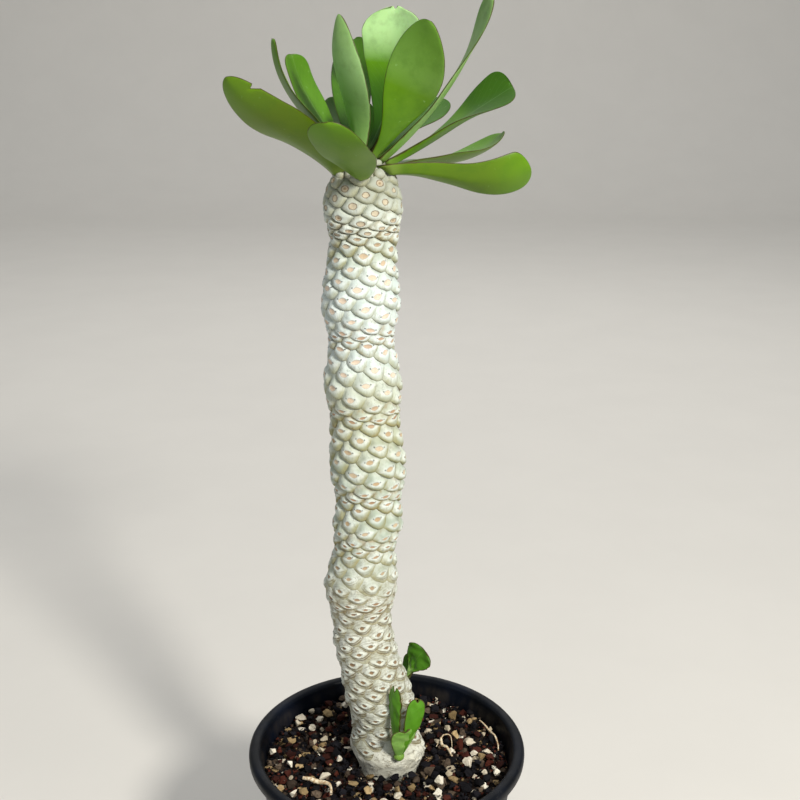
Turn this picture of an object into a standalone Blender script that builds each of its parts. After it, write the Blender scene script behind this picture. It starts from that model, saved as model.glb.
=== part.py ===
# Potted Euphorbia poissonii: a thick unbranched stem covered in spirally set leaf-scar scales,
# a rosette of fleshy leaves on top, two small offsets at the foot, gritty soil and a round nursery pot.
# Metres, +Z up. The origin is the centre of the pot's underside, and -Y is the front.

import math
import random

import bmesh
import bpy
from mathutils import Vector
from mathutils.bvhtree import BVHTree
from mathutils.geometry import delaunay_2d_cdt

MM = 0.001
TOUCH_GAP = 0.3 * MM
MERGE_DISTANCE = 0.05 * MM
FULL_TURN = 360.0
HALF_TURN = 180.0
SMOOTH_ANGLE = math.radians(40)

# Pot: a 15 cm round nursery pot
POT_HEIGHT = 130 * MM
POT_RIM_RADIUS = 75 * MM
POT_BEAD_WIDTH = 5.5 * MM
POT_BEAD_HEIGHT = 6.5 * MM
POT_BASE_RADIUS = 52.5 * MM
POT_WALL = 2.0 * MM
POT_FLOOR = 2.5 * MM
POT_FOOT_HEIGHT = 3.5 * MM
POT_FOOT_WIDTH = 7 * MM
POT_BOSS_RADIUS = 9 * MM
POT_SIDES = 48
POT_BEAD_STEPS = 5
DRAIN_HOLES = 8
DRAIN_HOLE_RADIUS = 4.5 * MM
DRAIN_RING_RADIUS = 29 * MM
DRAIN_NOTCHES = 4
DRAIN_NOTCH_WIDTH = 12 * MM
DRAIN_NOTCH_HEIGHT = 1.8 * MM
DRAIN_HOLE_SIDES = 10

# Soil: black and pale grit, heaped a little in the middle
SOIL_LEVEL = 120 * MM
SOIL_SIDES = 48
GRAIN_SPACING = 7.3 * MM
GRAIN_RELIEF = 1.5 * MM
GRAIN_JITTER = 0.25
GRAIN_CROWNS = (0.35, 1.0)
GRAIN_DIPS = (0.2, 0.6)
GRAIN_CLEAR = 0.45
SOIL_SEED = 11

# Stem: heights, sideways lean and crest radius where the growth flushes swell and pinch
STEM_STATIONS = [
    (0.0850, 0.0012, 0.0172), (0.1130, 0.0012, 0.0190), (0.1215, 0.0010, 0.0192),
    (0.1300, 0.0002, 0.0190), (0.1430, -0.0023, 0.0166), (0.1600, -0.0040, 0.0188),
    (0.1780, -0.0084, 0.0172), (0.1900, -0.0113, 0.0168), (0.2070, -0.0130, 0.0161),
    (0.2250, -0.0131, 0.0196), (0.2460, -0.0112, 0.0166), (0.2600, -0.0092, 0.0181),
    (0.2735, -0.0089, 0.0170), (0.2880, -0.0090, 0.0196), (0.3050, -0.0097, 0.0186),
    (0.3180, -0.0103, 0.0177), (0.3330, -0.0110, 0.0197), (0.3560, -0.0117, 0.0165),
    (0.3740, -0.0119, 0.0193), (0.3930, -0.0111, 0.0173), (0.4065, -0.0102, 0.0160),
    (0.4200, -0.0102, 0.0186),
]
# Height gained from one leaf scar to the next, which shortens at the end of each flush
SCAR_RISE = [
    (0.115, 0.69 * MM), (0.130, 0.68 * MM), (0.145, 0.69 * MM), (0.160, 0.66 * MM), (0.175, 0.68 * MM),
    (0.205, 0.68 * MM), (0.220, 0.64 * MM), (0.235, 0.61 * MM), (0.250, 0.65 * MM), (0.280, 0.67 * MM),
    (0.310, 0.72 * MM), (0.340, 0.74 * MM), (0.355, 0.70 * MM), (0.370, 0.68 * MM), (0.385, 0.63 * MM),
    (0.400, 0.62 * MM), (0.415, 0.56 * MM), (0.430, 0.50 * MM),
]
DIVERGENCE = 137.5077
FIRST_SCAR_TURN = 37.0
STUMP_BOTTOM = 92 * MM
SCAR_START = 80.33 * MM
RELIEF_START = 122 * MM
RELIEF_FULL = 127 * MM
SCALE_RELIEF = 1.6 * MM
SCALE_SHOULDER = 0.62
SCALE_LIP = 0.86
SCALE_LIP_REACH = 0.70
SCALE_SHOULDER_REACH = 0.52
SCAR_DEPTH = 0.25 * MM
SCAR_LIFT = 0.12
NEAR_STEPS = (5, 8, 13)
DOME_HEIGHT = 26.5 * MM
DOME_RELIEF = 0.35
DOME_FADE_HEIGHT = DOME_HEIGHT / 3
DOME_CLIMB_STEPS = 60
DOME_STOP_RADIUS = 7.0 * MM
DOME_RING_SHARES = (0.78, 0.54, 0.28)

# Leaves, oldest first, each on the next seat of the same spiral. Angles in degrees, sizes in mm.
# heading: where the leaf points, 0 to the front and 90 to the right; rise: its slope at foot and tip;
# arch: extra slope at mid length; swing: sideways turn along its length; roll: twist at foot and tip;
# spread, broad, square: how its outline widens, where it is broadest, how blunt its tip is;
# notch, notch_side: depth of the nick in its tip, and how far to one side the nick lies
LEAF_THICK_FOOT = 3.0 * MM
LEAF_THICK_MIDDLE = 2.0 * MM
LEAF_THICK_TIP = 1.1 * MM
LEAF_THICK_EDGE = 0.75 * MM
LEAF_ROWS = 10
LEAF_COLUMNS = 4
LEAF_SEAT_GAP = 0.45 * MM
LEAF_TIP_FILL = 0.985
LEAF_TIP_START = 0.8
LEAF_MIDDLE = 0.5
LEAF_ROW_CROWDING = 1.35
LEAF_CUP_POWER = 1.6
LEAF_WAVES = 1.5
LEAF_WAVE_ONSET = (0.2, 0.5)
LEAF_NOTCH_WIDTH = 0.58
LEAVES = {
    "leaf_01": dict(seat=-2, reach=14.2, heading=-7, rise=(25, 48), arch=-14, swing=-14, roll=(-4, 0),
                    foot=3.8, length=63, width=26.0, spread=0.8, broad=0.64, square=2.2, cup=0.15, wave=0.5),
    "leaf_02": dict(seat=126, reach=13.6, heading=137, rise=(11, 44), arch=-29, swing=-10, roll=(-6, -15),
                    foot=4.0, length=82, width=26.5, spread=1.7, broad=0.73, square=2.5, cup=0.23, wave=0.8),
    "leaf_03": dict(seat=-60, reach=13.4, heading=-31, rise=(39, 57), arch=-20, swing=-23, roll=(-5, 29),
                    foot=5.0, length=79, width=30.5, spread=0.7, broad=0.56, square=1.8, cup=0.19, wave=0.8,
                    notch=3.6, notch_side=0.6),
    "leaf_04": dict(seat=66, reach=13.2, heading=95, rise=(6, 32), arch=-29, swing=12, roll=(-38, -65),
                    foot=4.6, length=70, width=22.5, spread=2.1, broad=0.88, square=2.4, cup=0.24, wave=0.8),
    "leaf_05": dict(seat=-175, reach=12.2, heading=-162, rise=(20, 50), arch=-12, swing=-8, roll=(0, 14),
                    foot=3.9, length=62, width=21, spread=1.2, broad=0.70, square=2.4, cup=0.18, wave=0.5),
    "leaf_06": dict(seat=106, reach=11.4, heading=103, rise=(25, 34), arch=2, swing=-21, roll=(-36, 39),
                    foot=2.6, length=69, width=28.0, spread=2.5, broad=0.83, square=3.1, cup=0.27, wave=0.5),
    "leaf_07": dict(seat=-126, reach=10.8, heading=-128, rise=(56, 80), arch=-15, swing=12, roll=(13, 3),
                    foot=3.4, length=58, width=25.5, spread=1.0, broad=0.86, square=2.7, cup=0.16, wave=0.6),
    "leaf_08": dict(seat=152, reach=9.8, heading=146, rise=(38, 26), arch=-12, swing=-4, roll=(0, 20),
                    foot=3.6, length=62, width=24, spread=1.2, broad=0.70, square=2.4, cup=0.18, wave=0.5),
    "leaf_09": dict(seat=-71, reach=9.0, heading=-59, rise=(54, 93), arch=-23, swing=-15, roll=(-12, -10),
                    foot=3.5, length=66, width=27.5, spread=0.8, broad=0.65, square=2.5, cup=0.14, wave=0.6),
    "leaf_10": dict(seat=68, reach=8.8, heading=71, rise=(39, 73), arch=-3, swing=-9, roll=(-12, 41),
                    foot=2.8, length=91, width=20.0, spread=1.2, broad=0.79, square=2.2, cup=0.05, wave=0.8),
    "leaf_11": dict(seat=-162, reach=8.4, heading=-171, rise=(46, 46), arch=-9, swing=-12, roll=(0, -20),
                    foot=3.4, length=82, width=21, spread=1.2, broad=0.70, square=2.4, cup=0.18, wave=0.6),
    "leaf_12": dict(seat=-12, reach=7.4, heading=-23, rise=(87, 108), arch=-32, swing=-26, roll=(-23, -21),
                    foot=3.6, length=67, width=28.0, spread=1.6, broad=0.61, square=1.8, cup=0.31, wave=0.5),
    "leaf_13": dict(seat=36, reach=6.8, heading=49, rise=(41, 66), arch=6, swing=-17, roll=(0, -85),
                    foot=3.0, length=73, width=26.5, spread=2.2, broad=0.72, square=1.9, cup=0.05, wave=0.5),
    "leaf_14": dict(seat=162, reach=5.6, heading=136, rise=(43, 95), arch=6, swing=6, roll=(-12, 14),
                    foot=2.8, length=72.5, width=32.5, spread=2.2, broad=0.80, square=2.2, cup=0.33, wave=0.9),
}

# Growing tip: a few young upright leaves grown from one bud
TIP_REACH = 1.3 * MM
TIP_LENGTHS = (26, 22, 17, 13)
TIP_FIRST_TURN = -100
TIP_LEAF_SINK = 1.2 * MM
TIP_CORE_RADIUS = 2.4 * MM
TIP_CORE_HEIGHT = 7 * MM
TIP_CORE_SIDES = 8
TIP_LEAF = dict(rise=(72, 92), arch=-4, swing=8, roll=(0, 6), spread=1.2, broad=0.68, square=2.2,
                cup=0.22, wave=0.0, foot=1.5, stout=0.62)
TIP_LEAF_SLIMNESS = 0.36
TIP_LEAF_ROWS = 5
YOUNG_LEAF_COLUMNS = 2

# Offsets: small shoots from the foot of the stem, each a knob with its own leaves
FRONT_OFFSET_FOOT = (6.6 * MM, -20.1 * MM, 134.5 * MM)
FRONT_OFFSET_LEAVES = [
    dict(heading=-40, rise=(70, 92), arch=0, swing=0, roll=(0, -12), length=43, width=9.0, foot=1.6),
    dict(heading=64, rise=(60, 88), arch=0, swing=-6, roll=(0, -58), length=39, width=10.5, foot=1.6),
    dict(heading=25, rise=(60, 70), arch=6, swing=12, roll=(0, -10), length=21, width=12.5, foot=2.4),
]
BACK_OFFSET_FOOT = (9.0 * MM, 17.0 * MM, 156.0 * MM)
BACK_OFFSET_LEAVES = [
    dict(heading=78, rise=(62, 50), arch=8, swing=0, roll=(20, 70), length=25, width=17.0, foot=1.8),
    dict(heading=150, rise=(40, 70), arch=0, swing=-8, roll=(0, 10), length=17, width=9.0, foot=1.8),
]
OFFSET_LEAF = dict(spread=1.3, broad=0.74, square=2.5, cup=0.16, wave=0.4, stout=0.8)
OFFSET_LEAF_ROWS = 6
OFFSET_KNOB_RADIUS = 2.9 * MM

# Dry bits that lie on the soil: thickness and route in mm
STRAND_LIFT = 0.3 * MM
STRAND_PROBES = 5
STRAND_STEPS = 2
STRANDS = {
    "dry_root_left": dict(thick=1.5, points=[(-44, -25), (-39, -26.5), (-34, -27.5), (-29.5, -31),
                                             (-28.5, -37)]),
    "dry_root_right": dict(thick=1.5, points=[(30, 11), (31.5, 6), (33, 1), (35.5, -4)]),
    "dry_straw": dict(thick=1.1, points=[(53, 32), (57, 24), (60, 16), (61.5, 9), (61.5, 4)]),
}

# Colours, roughness
COLOURS = {
    "pot": ((0.012, 0.014, 0.020), 0.48),
    "soil": ((0.060, 0.040, 0.030), 0.90),
    "stem": ((0.56, 0.55, 0.40), 0.72),
    "leaf": ((0.085, 0.230, 0.030), 0.38),
    "young_leaf": ((0.16, 0.36, 0.06), 0.38),
    "dry": ((0.55, 0.42, 0.26), 0.85),
}


def clear_scene():
    for item in list(bpy.data.objects):
        bpy.data.objects.remove(item, do_unlink=True)


def material(name):
    colour, roughness = COLOURS[name]
    made = bpy.data.materials.get(name) or bpy.data.materials.new(name)
    made.use_nodes = True
    shader = made.node_tree.nodes["Principled BSDF"]
    shader.inputs["Base Color"].default_value = (*colour, 1.0)
    shader.inputs["Roughness"].default_value = roughness
    shader.inputs["Metallic"].default_value = 0.0
    made.diffuse_color = (*colour, 1.0)
    return made


def object_from(name, mesh_data, finish, smooth=True):
    mesh = bpy.data.meshes.new(name)
    mesh_data.to_mesh(mesh)
    mesh_data.free()
    if smooth:
        mesh.shade_smooth()
        mesh.set_sharp_from_angle(angle=SMOOTH_ANGLE)
    made = bpy.data.objects.new(name, mesh)
    made.data.materials.append(material(finish))
    bpy.context.scene.collection.objects.link(made)
    return made


def point_outward(mesh_data):
    bmesh.ops.recalc_face_normals(mesh_data, faces=mesh_data.faces[:])


def smooth_between(stations, at):
    """A smooth curve through (place, value, ...) stations, read at one place."""
    if at <= stations[0][0]:
        return stations[0][1:]
    if at >= stations[-1][0]:
        return stations[-1][1:]
    after = next(k for k, station in enumerate(stations) if station[0] > at)
    low, high = stations[after - 1], stations[after]
    before = stations[max(after - 2, 0)]
    beyond = stations[min(after + 1, len(stations) - 1)]
    span = high[0] - low[0]
    share = (at - low[0]) / span
    values = []
    for k in range(1, len(low)):
        slope_low = (high[k] - before[k]) / (high[0] - before[0]) * span
        slope_high = (beyond[k] - low[k]) / (beyond[0] - low[0]) * span
        values.append(
            low[k] * (1 + 2 * share) * (1 - share) ** 2
            + slope_low * share * (1 - share) ** 2
            + high[k] * share ** 2 * (3 - 2 * share)
            + slope_high * share ** 2 * (share - 1)
        )
    return tuple(values)


def ease(value, start, end):
    share = min(max((value - start) / (end - start), 0.0), 1.0)
    return share * share * (3 - 2 * share)


def front_left(turn):
    """The level direction at a turn in degrees: 0 faces the front (-Y), 90 the right (+X)."""
    angle = math.radians(turn)
    return Vector((math.sin(angle), -math.cos(angle), 0.0))


# Pot

def pot_profile():
    """The pot's cross-section from the inner floor centre round the rim to the underside centre."""
    wall_top = POT_HEIGHT - POT_BEAD_HEIGHT
    wall_radius = POT_RIM_RADIUS - POT_BEAD_WIDTH
    bead_mid = POT_RIM_RADIUS - POT_BEAD_WIDTH / 2 - POT_WALL / 4
    bead_half = POT_RIM_RADIUS - bead_mid
    floor_top = POT_FOOT_HEIGHT + POT_FLOOR
    inner_base = POT_BASE_RADIUS - POT_WALL
    profile = [(0.0, floor_top), (inner_base - POT_WALL, floor_top), (inner_base, floor_top + POT_WALL)]
    profile.append((wall_radius - POT_WALL, wall_top))
    rise = POT_BEAD_HEIGHT / 2
    for k in range(POT_BEAD_STEPS):
        angle = math.radians(HALF_TURN - k * HALF_TURN / (POT_BEAD_STEPS - 1))
        profile.append((bead_mid + bead_half * math.cos(angle), POT_HEIGHT - rise + rise * math.sin(angle)))
    profile.append((POT_RIM_RADIUS - POT_WALL / 2, wall_top))
    profile.append((wall_radius, wall_top - POT_WALL / 2))
    profile.append((POT_BASE_RADIUS, POT_WALL))
    profile.append((POT_BASE_RADIUS - POT_WALL / 2, 0.0))
    foot_inner = POT_BASE_RADIUS - POT_FOOT_WIDTH
    profile += [(foot_inner, 0.0), (foot_inner, POT_FOOT_HEIGHT)]
    profile += [(POT_BOSS_RADIUS, POT_FOOT_HEIGHT), (POT_BOSS_RADIUS, 0.0), (0.0, 0.0)]
    return profile


def turned(profile, sides):
    """A solid turned round the Z axis from a cross-section that starts and ends on the axis."""
    mesh_data = bmesh.new()
    rings = []
    for radius, height in profile:
        if radius == 0.0:
            rings.append([mesh_data.verts.new((0.0, 0.0, height))])
            continue
        ring = []
        for k in range(sides):
            place = front_left(k * FULL_TURN / sides) * radius + Vector((0, 0, height))
            ring.append(mesh_data.verts.new(place))
        rings.append(ring)
    for low, high in zip(rings, rings[1:]):
        for k in range(sides):
            follow = (k + 1) % sides
            corners = [low[k % len(low)], low[follow % len(low)]]
            corners += [high[follow % len(high)], high[k % len(high)]]
            mesh_data.faces.new(list(dict.fromkeys(corners)))
    point_outward(mesh_data)
    return mesh_data


def cutter(name, mesh_data):
    made = object_from(name, mesh_data, "pot", smooth=False)
    made.hide_render = True
    made.display_type = "WIRE"
    return made


def upright_post(centre, radius, low, high, sides):
    mesh_data = bmesh.new()
    bmesh.ops.create_cone(mesh_data, cap_ends=True, segments=sides, depth=high - low,
                          radius1=radius, radius2=radius)
    bmesh.ops.translate(mesh_data, verts=mesh_data.verts[:], vec=centre + Vector((0, 0, (low + high) / 2)))
    return mesh_data


def apply_modifiers(target):
    bpy.context.view_layer.update()
    evaluated = target.evaluated_get(bpy.context.evaluated_depsgraph_get())
    baked = bpy.data.meshes.new_from_object(evaluated)
    target.modifiers.clear()
    target.data = baked


def combine(target, others, operation):
    """Cut or join a collection of solids with one Boolean, then remove them."""
    group = bpy.data.collections.new(target.name + "_pieces")
    bpy.context.scene.collection.children.link(group)
    for other in others:
        bpy.context.scene.collection.objects.unlink(other)
        group.objects.link(other)
    step = target.modifiers.new("combine", "BOOLEAN")
    step.operation = operation
    step.solver = "EXACT"
    step.operand_type = "COLLECTION"
    step.collection = group
    apply_modifiers(target)
    for other in others:
        bpy.data.objects.remove(other, do_unlink=True)
    bpy.data.collections.remove(group)


def make_pot():
    pot = object_from("pot", turned(pot_profile(), POT_SIDES), "pot")
    cutters = []
    overshoot = POT_WALL
    for k in range(DRAIN_HOLES):
        centre = front_left(k * FULL_TURN / DRAIN_HOLES) * DRAIN_RING_RADIUS
        post = upright_post(centre, DRAIN_HOLE_RADIUS, POT_FOOT_HEIGHT - overshoot,
                            POT_FOOT_HEIGHT + POT_FLOOR + overshoot, DRAIN_HOLE_SIDES)
        cutters.append(cutter(f"drain_hole_{k}", post))
    for k in range(DRAIN_NOTCHES):
        turn = (k + 0.5) * FULL_TURN / DRAIN_NOTCHES
        mesh_data = bmesh.new()
        bmesh.ops.create_cube(mesh_data, size=1.0)
        size = Vector((DRAIN_NOTCH_WIDTH, 3 * POT_FOOT_WIDTH, 2 * DRAIN_NOTCH_HEIGHT))
        bmesh.ops.scale(mesh_data, verts=mesh_data.verts[:], vec=size)
        notch = cutter(f"drain_notch_{k}", mesh_data)
        notch.location = front_left(turn) * (POT_BASE_RADIUS - POT_FOOT_WIDTH / 2)
        notch.rotation_euler.z = math.radians(turn)
        cutters.append(notch)
    combine(pot, cutters, "DIFFERENCE")
    pot.data.shade_smooth()
    pot.data.set_sharp_from_angle(angle=SMOOTH_ANGLE)
    return pot


# Stem

def spine(height):
    lean, radius = smooth_between(STEM_STATIONS, height)
    return Vector((lean, 0.0, height)), radius


def dome_radius(along):
    """Radius and height on the rounded top, from the distance climbed over its ellipse."""
    base_radius = STEM_STATIONS[-1][2]
    climbed = 0.0
    last = (base_radius, 0.0)
    for k in range(1, DOME_CLIMB_STEPS + 1):
        angle = k * math.pi / 2 / DOME_CLIMB_STEPS
        place = (base_radius * math.cos(angle), DOME_HEIGHT * math.sin(angle))
        climbed += math.dist(place, last)
        last = place
        if climbed >= along:
            break
    return last


def surface_point(turn, along, lift):
    """A point on the stem: turn in degrees, distance up it, and height above its creases."""
    top = STEM_STATIONS[-1][0]
    crest = SCALE_RELIEF * ease(along, RELIEF_START, RELIEF_FULL)
    if along <= top:
        centre, radius = spine(along)
        return centre + front_left(turn) * (radius - crest + lift * crest)
    radius, rise = dome_radius(along - top)
    slope = Vector((radius / STEM_STATIONS[-1][2] ** 2, rise / DOME_HEIGHT ** 2)).normalized()
    fade = 1 - (1 - DOME_RELIEF) * ease(along, top, top + DOME_FADE_HEIGHT)
    depth = (lift - 1) * crest * fade
    centre = spine(top)[0]
    return centre + front_left(turn) * (radius + slope.x * depth) + Vector((0, 0, rise + slope.y * depth))


def scar_places():
    """Distance up the stem of every leaf scar on the spiral, foot to dome."""
    top = STEM_STATIONS[-1][0]
    places = []
    along = SCAR_START
    while True:
        places.append(along)
        step = smooth_between(SCAR_RISE, along)[0]
        if along > top:
            radius = dome_radius(along - top)[0]
            if radius < DOME_STOP_RADIUS:
                return places
            step *= STEM_STATIONS[-1][2] / radius
        along += step


def close_dome(mesh_data, crown):
    """Replace the flat face inside the last scales with rings on the dome, up to its middle."""
    base_radius = STEM_STATIONS[-1][2]
    centre = spine(STEM_STATIONS[-1][0])[0]
    ring = list(crown.verts)
    mesh_data.faces.remove(crown)
    edge = [vert.co - centre for vert in ring]
    for share in DOME_RING_SHARES:
        inner = []
        for offset in edge:
            level = Vector((offset.x, offset.y, 0)) * share
            rise = DOME_HEIGHT * math.sqrt(1 - (level.length / base_radius) ** 2)
            inner.append(mesh_data.verts.new(centre + level + Vector((0, 0, rise))))
        for k in range(len(ring)):
            follow = (k + 1) % len(ring)
            mesh_data.faces.new((ring[k], ring[follow], inner[follow], inner[k]))
        ring = inner
    middle = mesh_data.verts.new(centre + Vector((0, 0, DOME_HEIGHT)))
    for k in range(len(ring)):
        mesh_data.faces.new((ring[k], ring[(k + 1) % len(ring)], middle))


def make_stem():
    near, middle, far = NEAR_STEPS
    places = scar_places()
    count = len(places)
    mesh_data = bmesh.new()

    def mean_corner(indices):
        origin = indices[0]
        turn = sum(((k - origin) * DIVERGENCE + HALF_TURN) % FULL_TURN - HALF_TURN for k in indices) / 3
        along = sum(places[k] for k in indices) / 3
        return FIRST_SCAR_TURN + origin * DIVERGENCE + turn, along

    above = {}
    beside = {}
    for k in range(count - far):
        above[k] = mean_corner((k, k + middle, k + far))
        beside[k] = mean_corner((k, k + far, k + near))
    corner_verts = {}
    for label, corners in (("above", above), ("beside", beside)):
        for k, (turn, along) in corners.items():
            corner_verts[label, k] = mesh_data.verts.new(surface_point(turn, along, 0.0))

    for k in range(far, count - far):
        hexagon = [("above", k), ("beside", k), ("above", k - middle),
                   ("beside", k - far), ("above", k - far), ("beside", k - near)]
        turn = FIRST_SCAR_TURN + k * DIVERGENCE
        along = places[k]
        lifted = []
        for label, corner in hexagon:
            corner_turn, corner_along = (above if label == "above" else beside)[corner]
            across = (corner_turn - turn + HALF_TURN) % FULL_TURN - HALF_TURN
            climb = corner_along - along
            lower = climb < 0
            reach = SCALE_LIP_REACH if lower else SCALE_SHOULDER_REACH
            lift = SCALE_LIP if lower else SCALE_SHOULDER
            place = surface_point(turn + across * reach, along + climb * reach, lift)
            lifted.append(mesh_data.verts.new(place))
        span = above[k][1] - along
        scar_place = surface_point(turn, along + SCAR_LIFT * span, 1.0 - SCAR_DEPTH / SCALE_RELIEF)
        scar = mesh_data.verts.new(scar_place)
        for side in range(len(hexagon)):
            follow = (side + 1) % len(hexagon)
            outer = corner_verts[hexagon[side]]
            outer_next = corner_verts[hexagon[follow]]
            mesh_data.faces.new((outer, outer_next, lifted[side]))
            mesh_data.faces.new((outer_next, lifted[follow], lifted[side]))
            mesh_data.faces.new((lifted[side], lifted[follow], scar))
    loose = [vert for vert in mesh_data.verts if not vert.link_faces]
    bmesh.ops.delete(mesh_data, geom=loose, context="VERTS")

    everything = mesh_data.verts[:] + mesh_data.edges[:] + mesh_data.faces[:]
    bmesh.ops.bisect_plane(mesh_data, geom=everything, dist=MERGE_DISTANCE / 10,
                           plane_co=(0, 0, STUMP_BOTTOM), plane_no=(0, 0, 1), clear_inner=True)
    rims = [edge for edge in mesh_data.edges if edge.is_boundary]
    filled = bmesh.ops.holes_fill(mesh_data, edges=rims, sides=0)["faces"]
    close_dome(mesh_data, max(filled, key=lambda face: face.calc_center_median().z))
    point_outward(mesh_data)
    return object_from("stem", mesh_data, "stem")


# Leaves

def leaf_seat(seat, reach):
    """The middle of a leaf's seat on the dome, and the dome's outward direction there."""
    base_radius = STEM_STATIONS[-1][2]
    rise = DOME_HEIGHT * math.sqrt(1 - (reach / base_radius) ** 2)
    centre = spine(STEM_STATIONS[-1][0])[0]
    outward = front_left(seat)
    normal = (outward * (reach / base_radius ** 2) + Vector((0, 0, rise / DOME_HEIGHT ** 2))).normalized()
    return centre + outward * reach + Vector((0, 0, rise)), normal


def leaf_half_width(share, leaf):
    foot = leaf["foot"] * MM
    full = leaf["width"] * MM / 2
    if share < leaf["broad"]:
        return foot + (full - foot) * math.sin(math.pi / 2 * share / leaf["broad"]) ** leaf["spread"]
    past = (share - leaf["broad"]) / (1 - leaf["broad"])
    return full * (1 - min(past, 1.0) ** leaf["square"]) ** (1 / leaf["square"])


def leaf_spine(leaf, start, steps):
    """Places, directions, sideways and upward vectors along a leaf, from its foot to its tip."""
    length = leaf["length"] * MM
    frames = []
    place = start.copy()
    last = None
    for k in range(steps + 1):
        share = k / steps
        rise = leaf["rise"][0] + (leaf["rise"][1] - leaf["rise"][0]) * share
        rise += leaf["arch"] * math.sin(math.pi * share)
        heading = leaf["heading"] + leaf["swing"] * share
        level = front_left(heading)
        direction = level * math.cos(math.radians(rise)) + Vector((0, 0, math.sin(math.radians(rise))))
        sideways = Vector((math.cos(math.radians(heading)), math.sin(math.radians(heading)), 0.0))
        upward = direction.cross(sideways)
        roll = math.radians(leaf["roll"][0] + (leaf["roll"][1] - leaf["roll"][0]) * share)
        if last is not None:
            place = place + (direction + last) / 2 * length / steps
        frames.append((share, place.copy(), direction,
                       sideways * math.cos(roll) + upward * math.sin(roll),
                       upward * math.cos(roll) - sideways * math.sin(roll)))
        last = direction
    return frames


def leaf_shares(rows):
    """Places of the rows along a leaf, closer together towards its rounded tip."""
    return [LEAF_TIP_FILL * (1 - (1 - k / rows) ** LEAF_ROW_CROWDING) for k in range(rows + 1)]


def between_frames(frames, share):
    place = share * (len(frames) - 1)
    low = min(int(place), len(frames) - 2)
    part = place - low
    mixed = [a.lerp(b, part) for a, b in zip(frames[low][1:], frames[low + 1][1:])]
    return mixed[0], mixed[1].normalized(), mixed[2].normalized(), mixed[3].normalized()


def leaf_thickness(share, across):
    if share < LEAF_MIDDLE:
        middle = LEAF_THICK_FOOT + (LEAF_THICK_MIDDLE - LEAF_THICK_FOOT) * share / LEAF_MIDDLE
    else:
        past = (share - LEAF_MIDDLE) / (1 - LEAF_MIDDLE)
        middle = LEAF_THICK_MIDDLE + (LEAF_THICK_TIP - LEAF_THICK_MIDDLE) * past
    return LEAF_THICK_EDGE + (middle - LEAF_THICK_EDGE) * (1 - across * across)


def blade_mesh(leaf, start, rows, columns, seat_on=None):
    """A closed fleshy blade whose upper and lower faces share one pattern of triangles."""
    frames = leaf_spine(leaf, start, 2 * rows)
    mesh_data = bmesh.new()
    upper, lower = [], []
    for share in leaf_shares(rows):
        upper_row, lower_row = [], []
        half = leaf_half_width(share, leaf)
        for column in range(columns + 1):
            across = 2 * column / columns - 1
            tip_share = ease(share, LEAF_TIP_START, LEAF_TIP_FILL)
            push = (1 - LEAF_TIP_FILL) * (1 - across * across)
            from_notch = (across - leaf.get("notch_side", 0.0)) / LEAF_NOTCH_WIDTH
            notch = leaf.get("notch", 0.0) / leaf["length"] * max(0.0, 1 - from_notch ** 2)
            reach = share + tip_share * (push - notch)
            place, direction, sideways, upward = between_frames(frames, min(reach, 1.0))
            cup = leaf["cup"] * half * abs(across) ** LEAF_CUP_POWER
            swell = math.sin(2 * math.pi * LEAF_WAVES * share + leaf["seat"]) * ease(share, *LEAF_WAVE_ONSET)
            wave = leaf["wave"] * MM * across * abs(across) * swell
            middle = place + sideways * half * across + upward * (cup + wave)
            thick = leaf_thickness(share, across) * leaf.get("stout", 1.0)
            upper_row.append(middle + upward * thick / 2)
            lower_row.append(middle - upward * thick / 2)
        upper.append(upper_row)
        lower.append(lower_row)
    if seat_on:
        direction = frames[0][2]
        upper[0] = [seat_on(point, direction) for point in upper[0]]
        lower[0] = [seat_on(point, direction) for point in lower[0]]
    upper = [[mesh_data.verts.new(point) for point in row] for row in upper]
    lower = [[mesh_data.verts.new(point) for point in row] for row in lower]

    def skin(grid, flip):
        for row, following in zip(grid, grid[1:]):
            for column in range(columns):
                a, b = row[column], row[column + 1]
                c, d = following[column + 1], following[column]
                pair = [(a, b, c), (a, c, d)] if column >= columns / 2 else [(a, b, d), (b, c, d)]
                for triangle in pair:
                    mesh_data.faces.new(triangle[::-1] if flip else triangle)

    skin(upper, False)
    skin(lower, True)
    border = [(row, 0) for row in range(rows, 0, -1)] + [(0, column) for column in range(columns + 1)]
    border += [(row, columns) for row in range(1, rows + 1)]
    border += [(rows, column) for column in range(columns - 1, 0, -1)]
    for (row, column), (next_row, next_column) in zip(border, border[1:] + border[:1]):
        mesh_data.faces.new((upper[row][column], lower[row][column],
                             lower[next_row][next_column], upper[next_row][next_column]))
    point_outward(mesh_data)
    return mesh_data


def onto_dome(point, direction):
    """Move a point along a direction until it stands just off the stem's rounded top."""
    centre = spine(STEM_STATIONS[-1][0])[0]
    radius = STEM_STATIONS[-1][2] + LEAF_SEAT_GAP
    height = DOME_HEIGHT + LEAF_SEAT_GAP
    start = point - centre
    squash = Vector((1 / radius, 1 / radius, 1 / height))
    p = Vector(a * b for a, b in zip(start, squash))
    d = Vector(a * b for a, b in zip(direction, squash))
    inside = (p.dot(d)) ** 2 - d.dot(d) * (p.dot(p) - 1)
    if inside <= 0:
        return point
    return point + direction * ((-p.dot(d) + math.sqrt(inside)) / d.dot(d))


def make_leaves():
    for name, leaf in LEAVES.items():
        start, normal = leaf_seat(leaf["seat"], leaf["reach"] * MM)
        blade = blade_mesh(leaf, start + normal * LEAF_SEAT_GAP, LEAF_ROWS, LEAF_COLUMNS, onto_dome)
        object_from(name, blade, "leaf")


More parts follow.
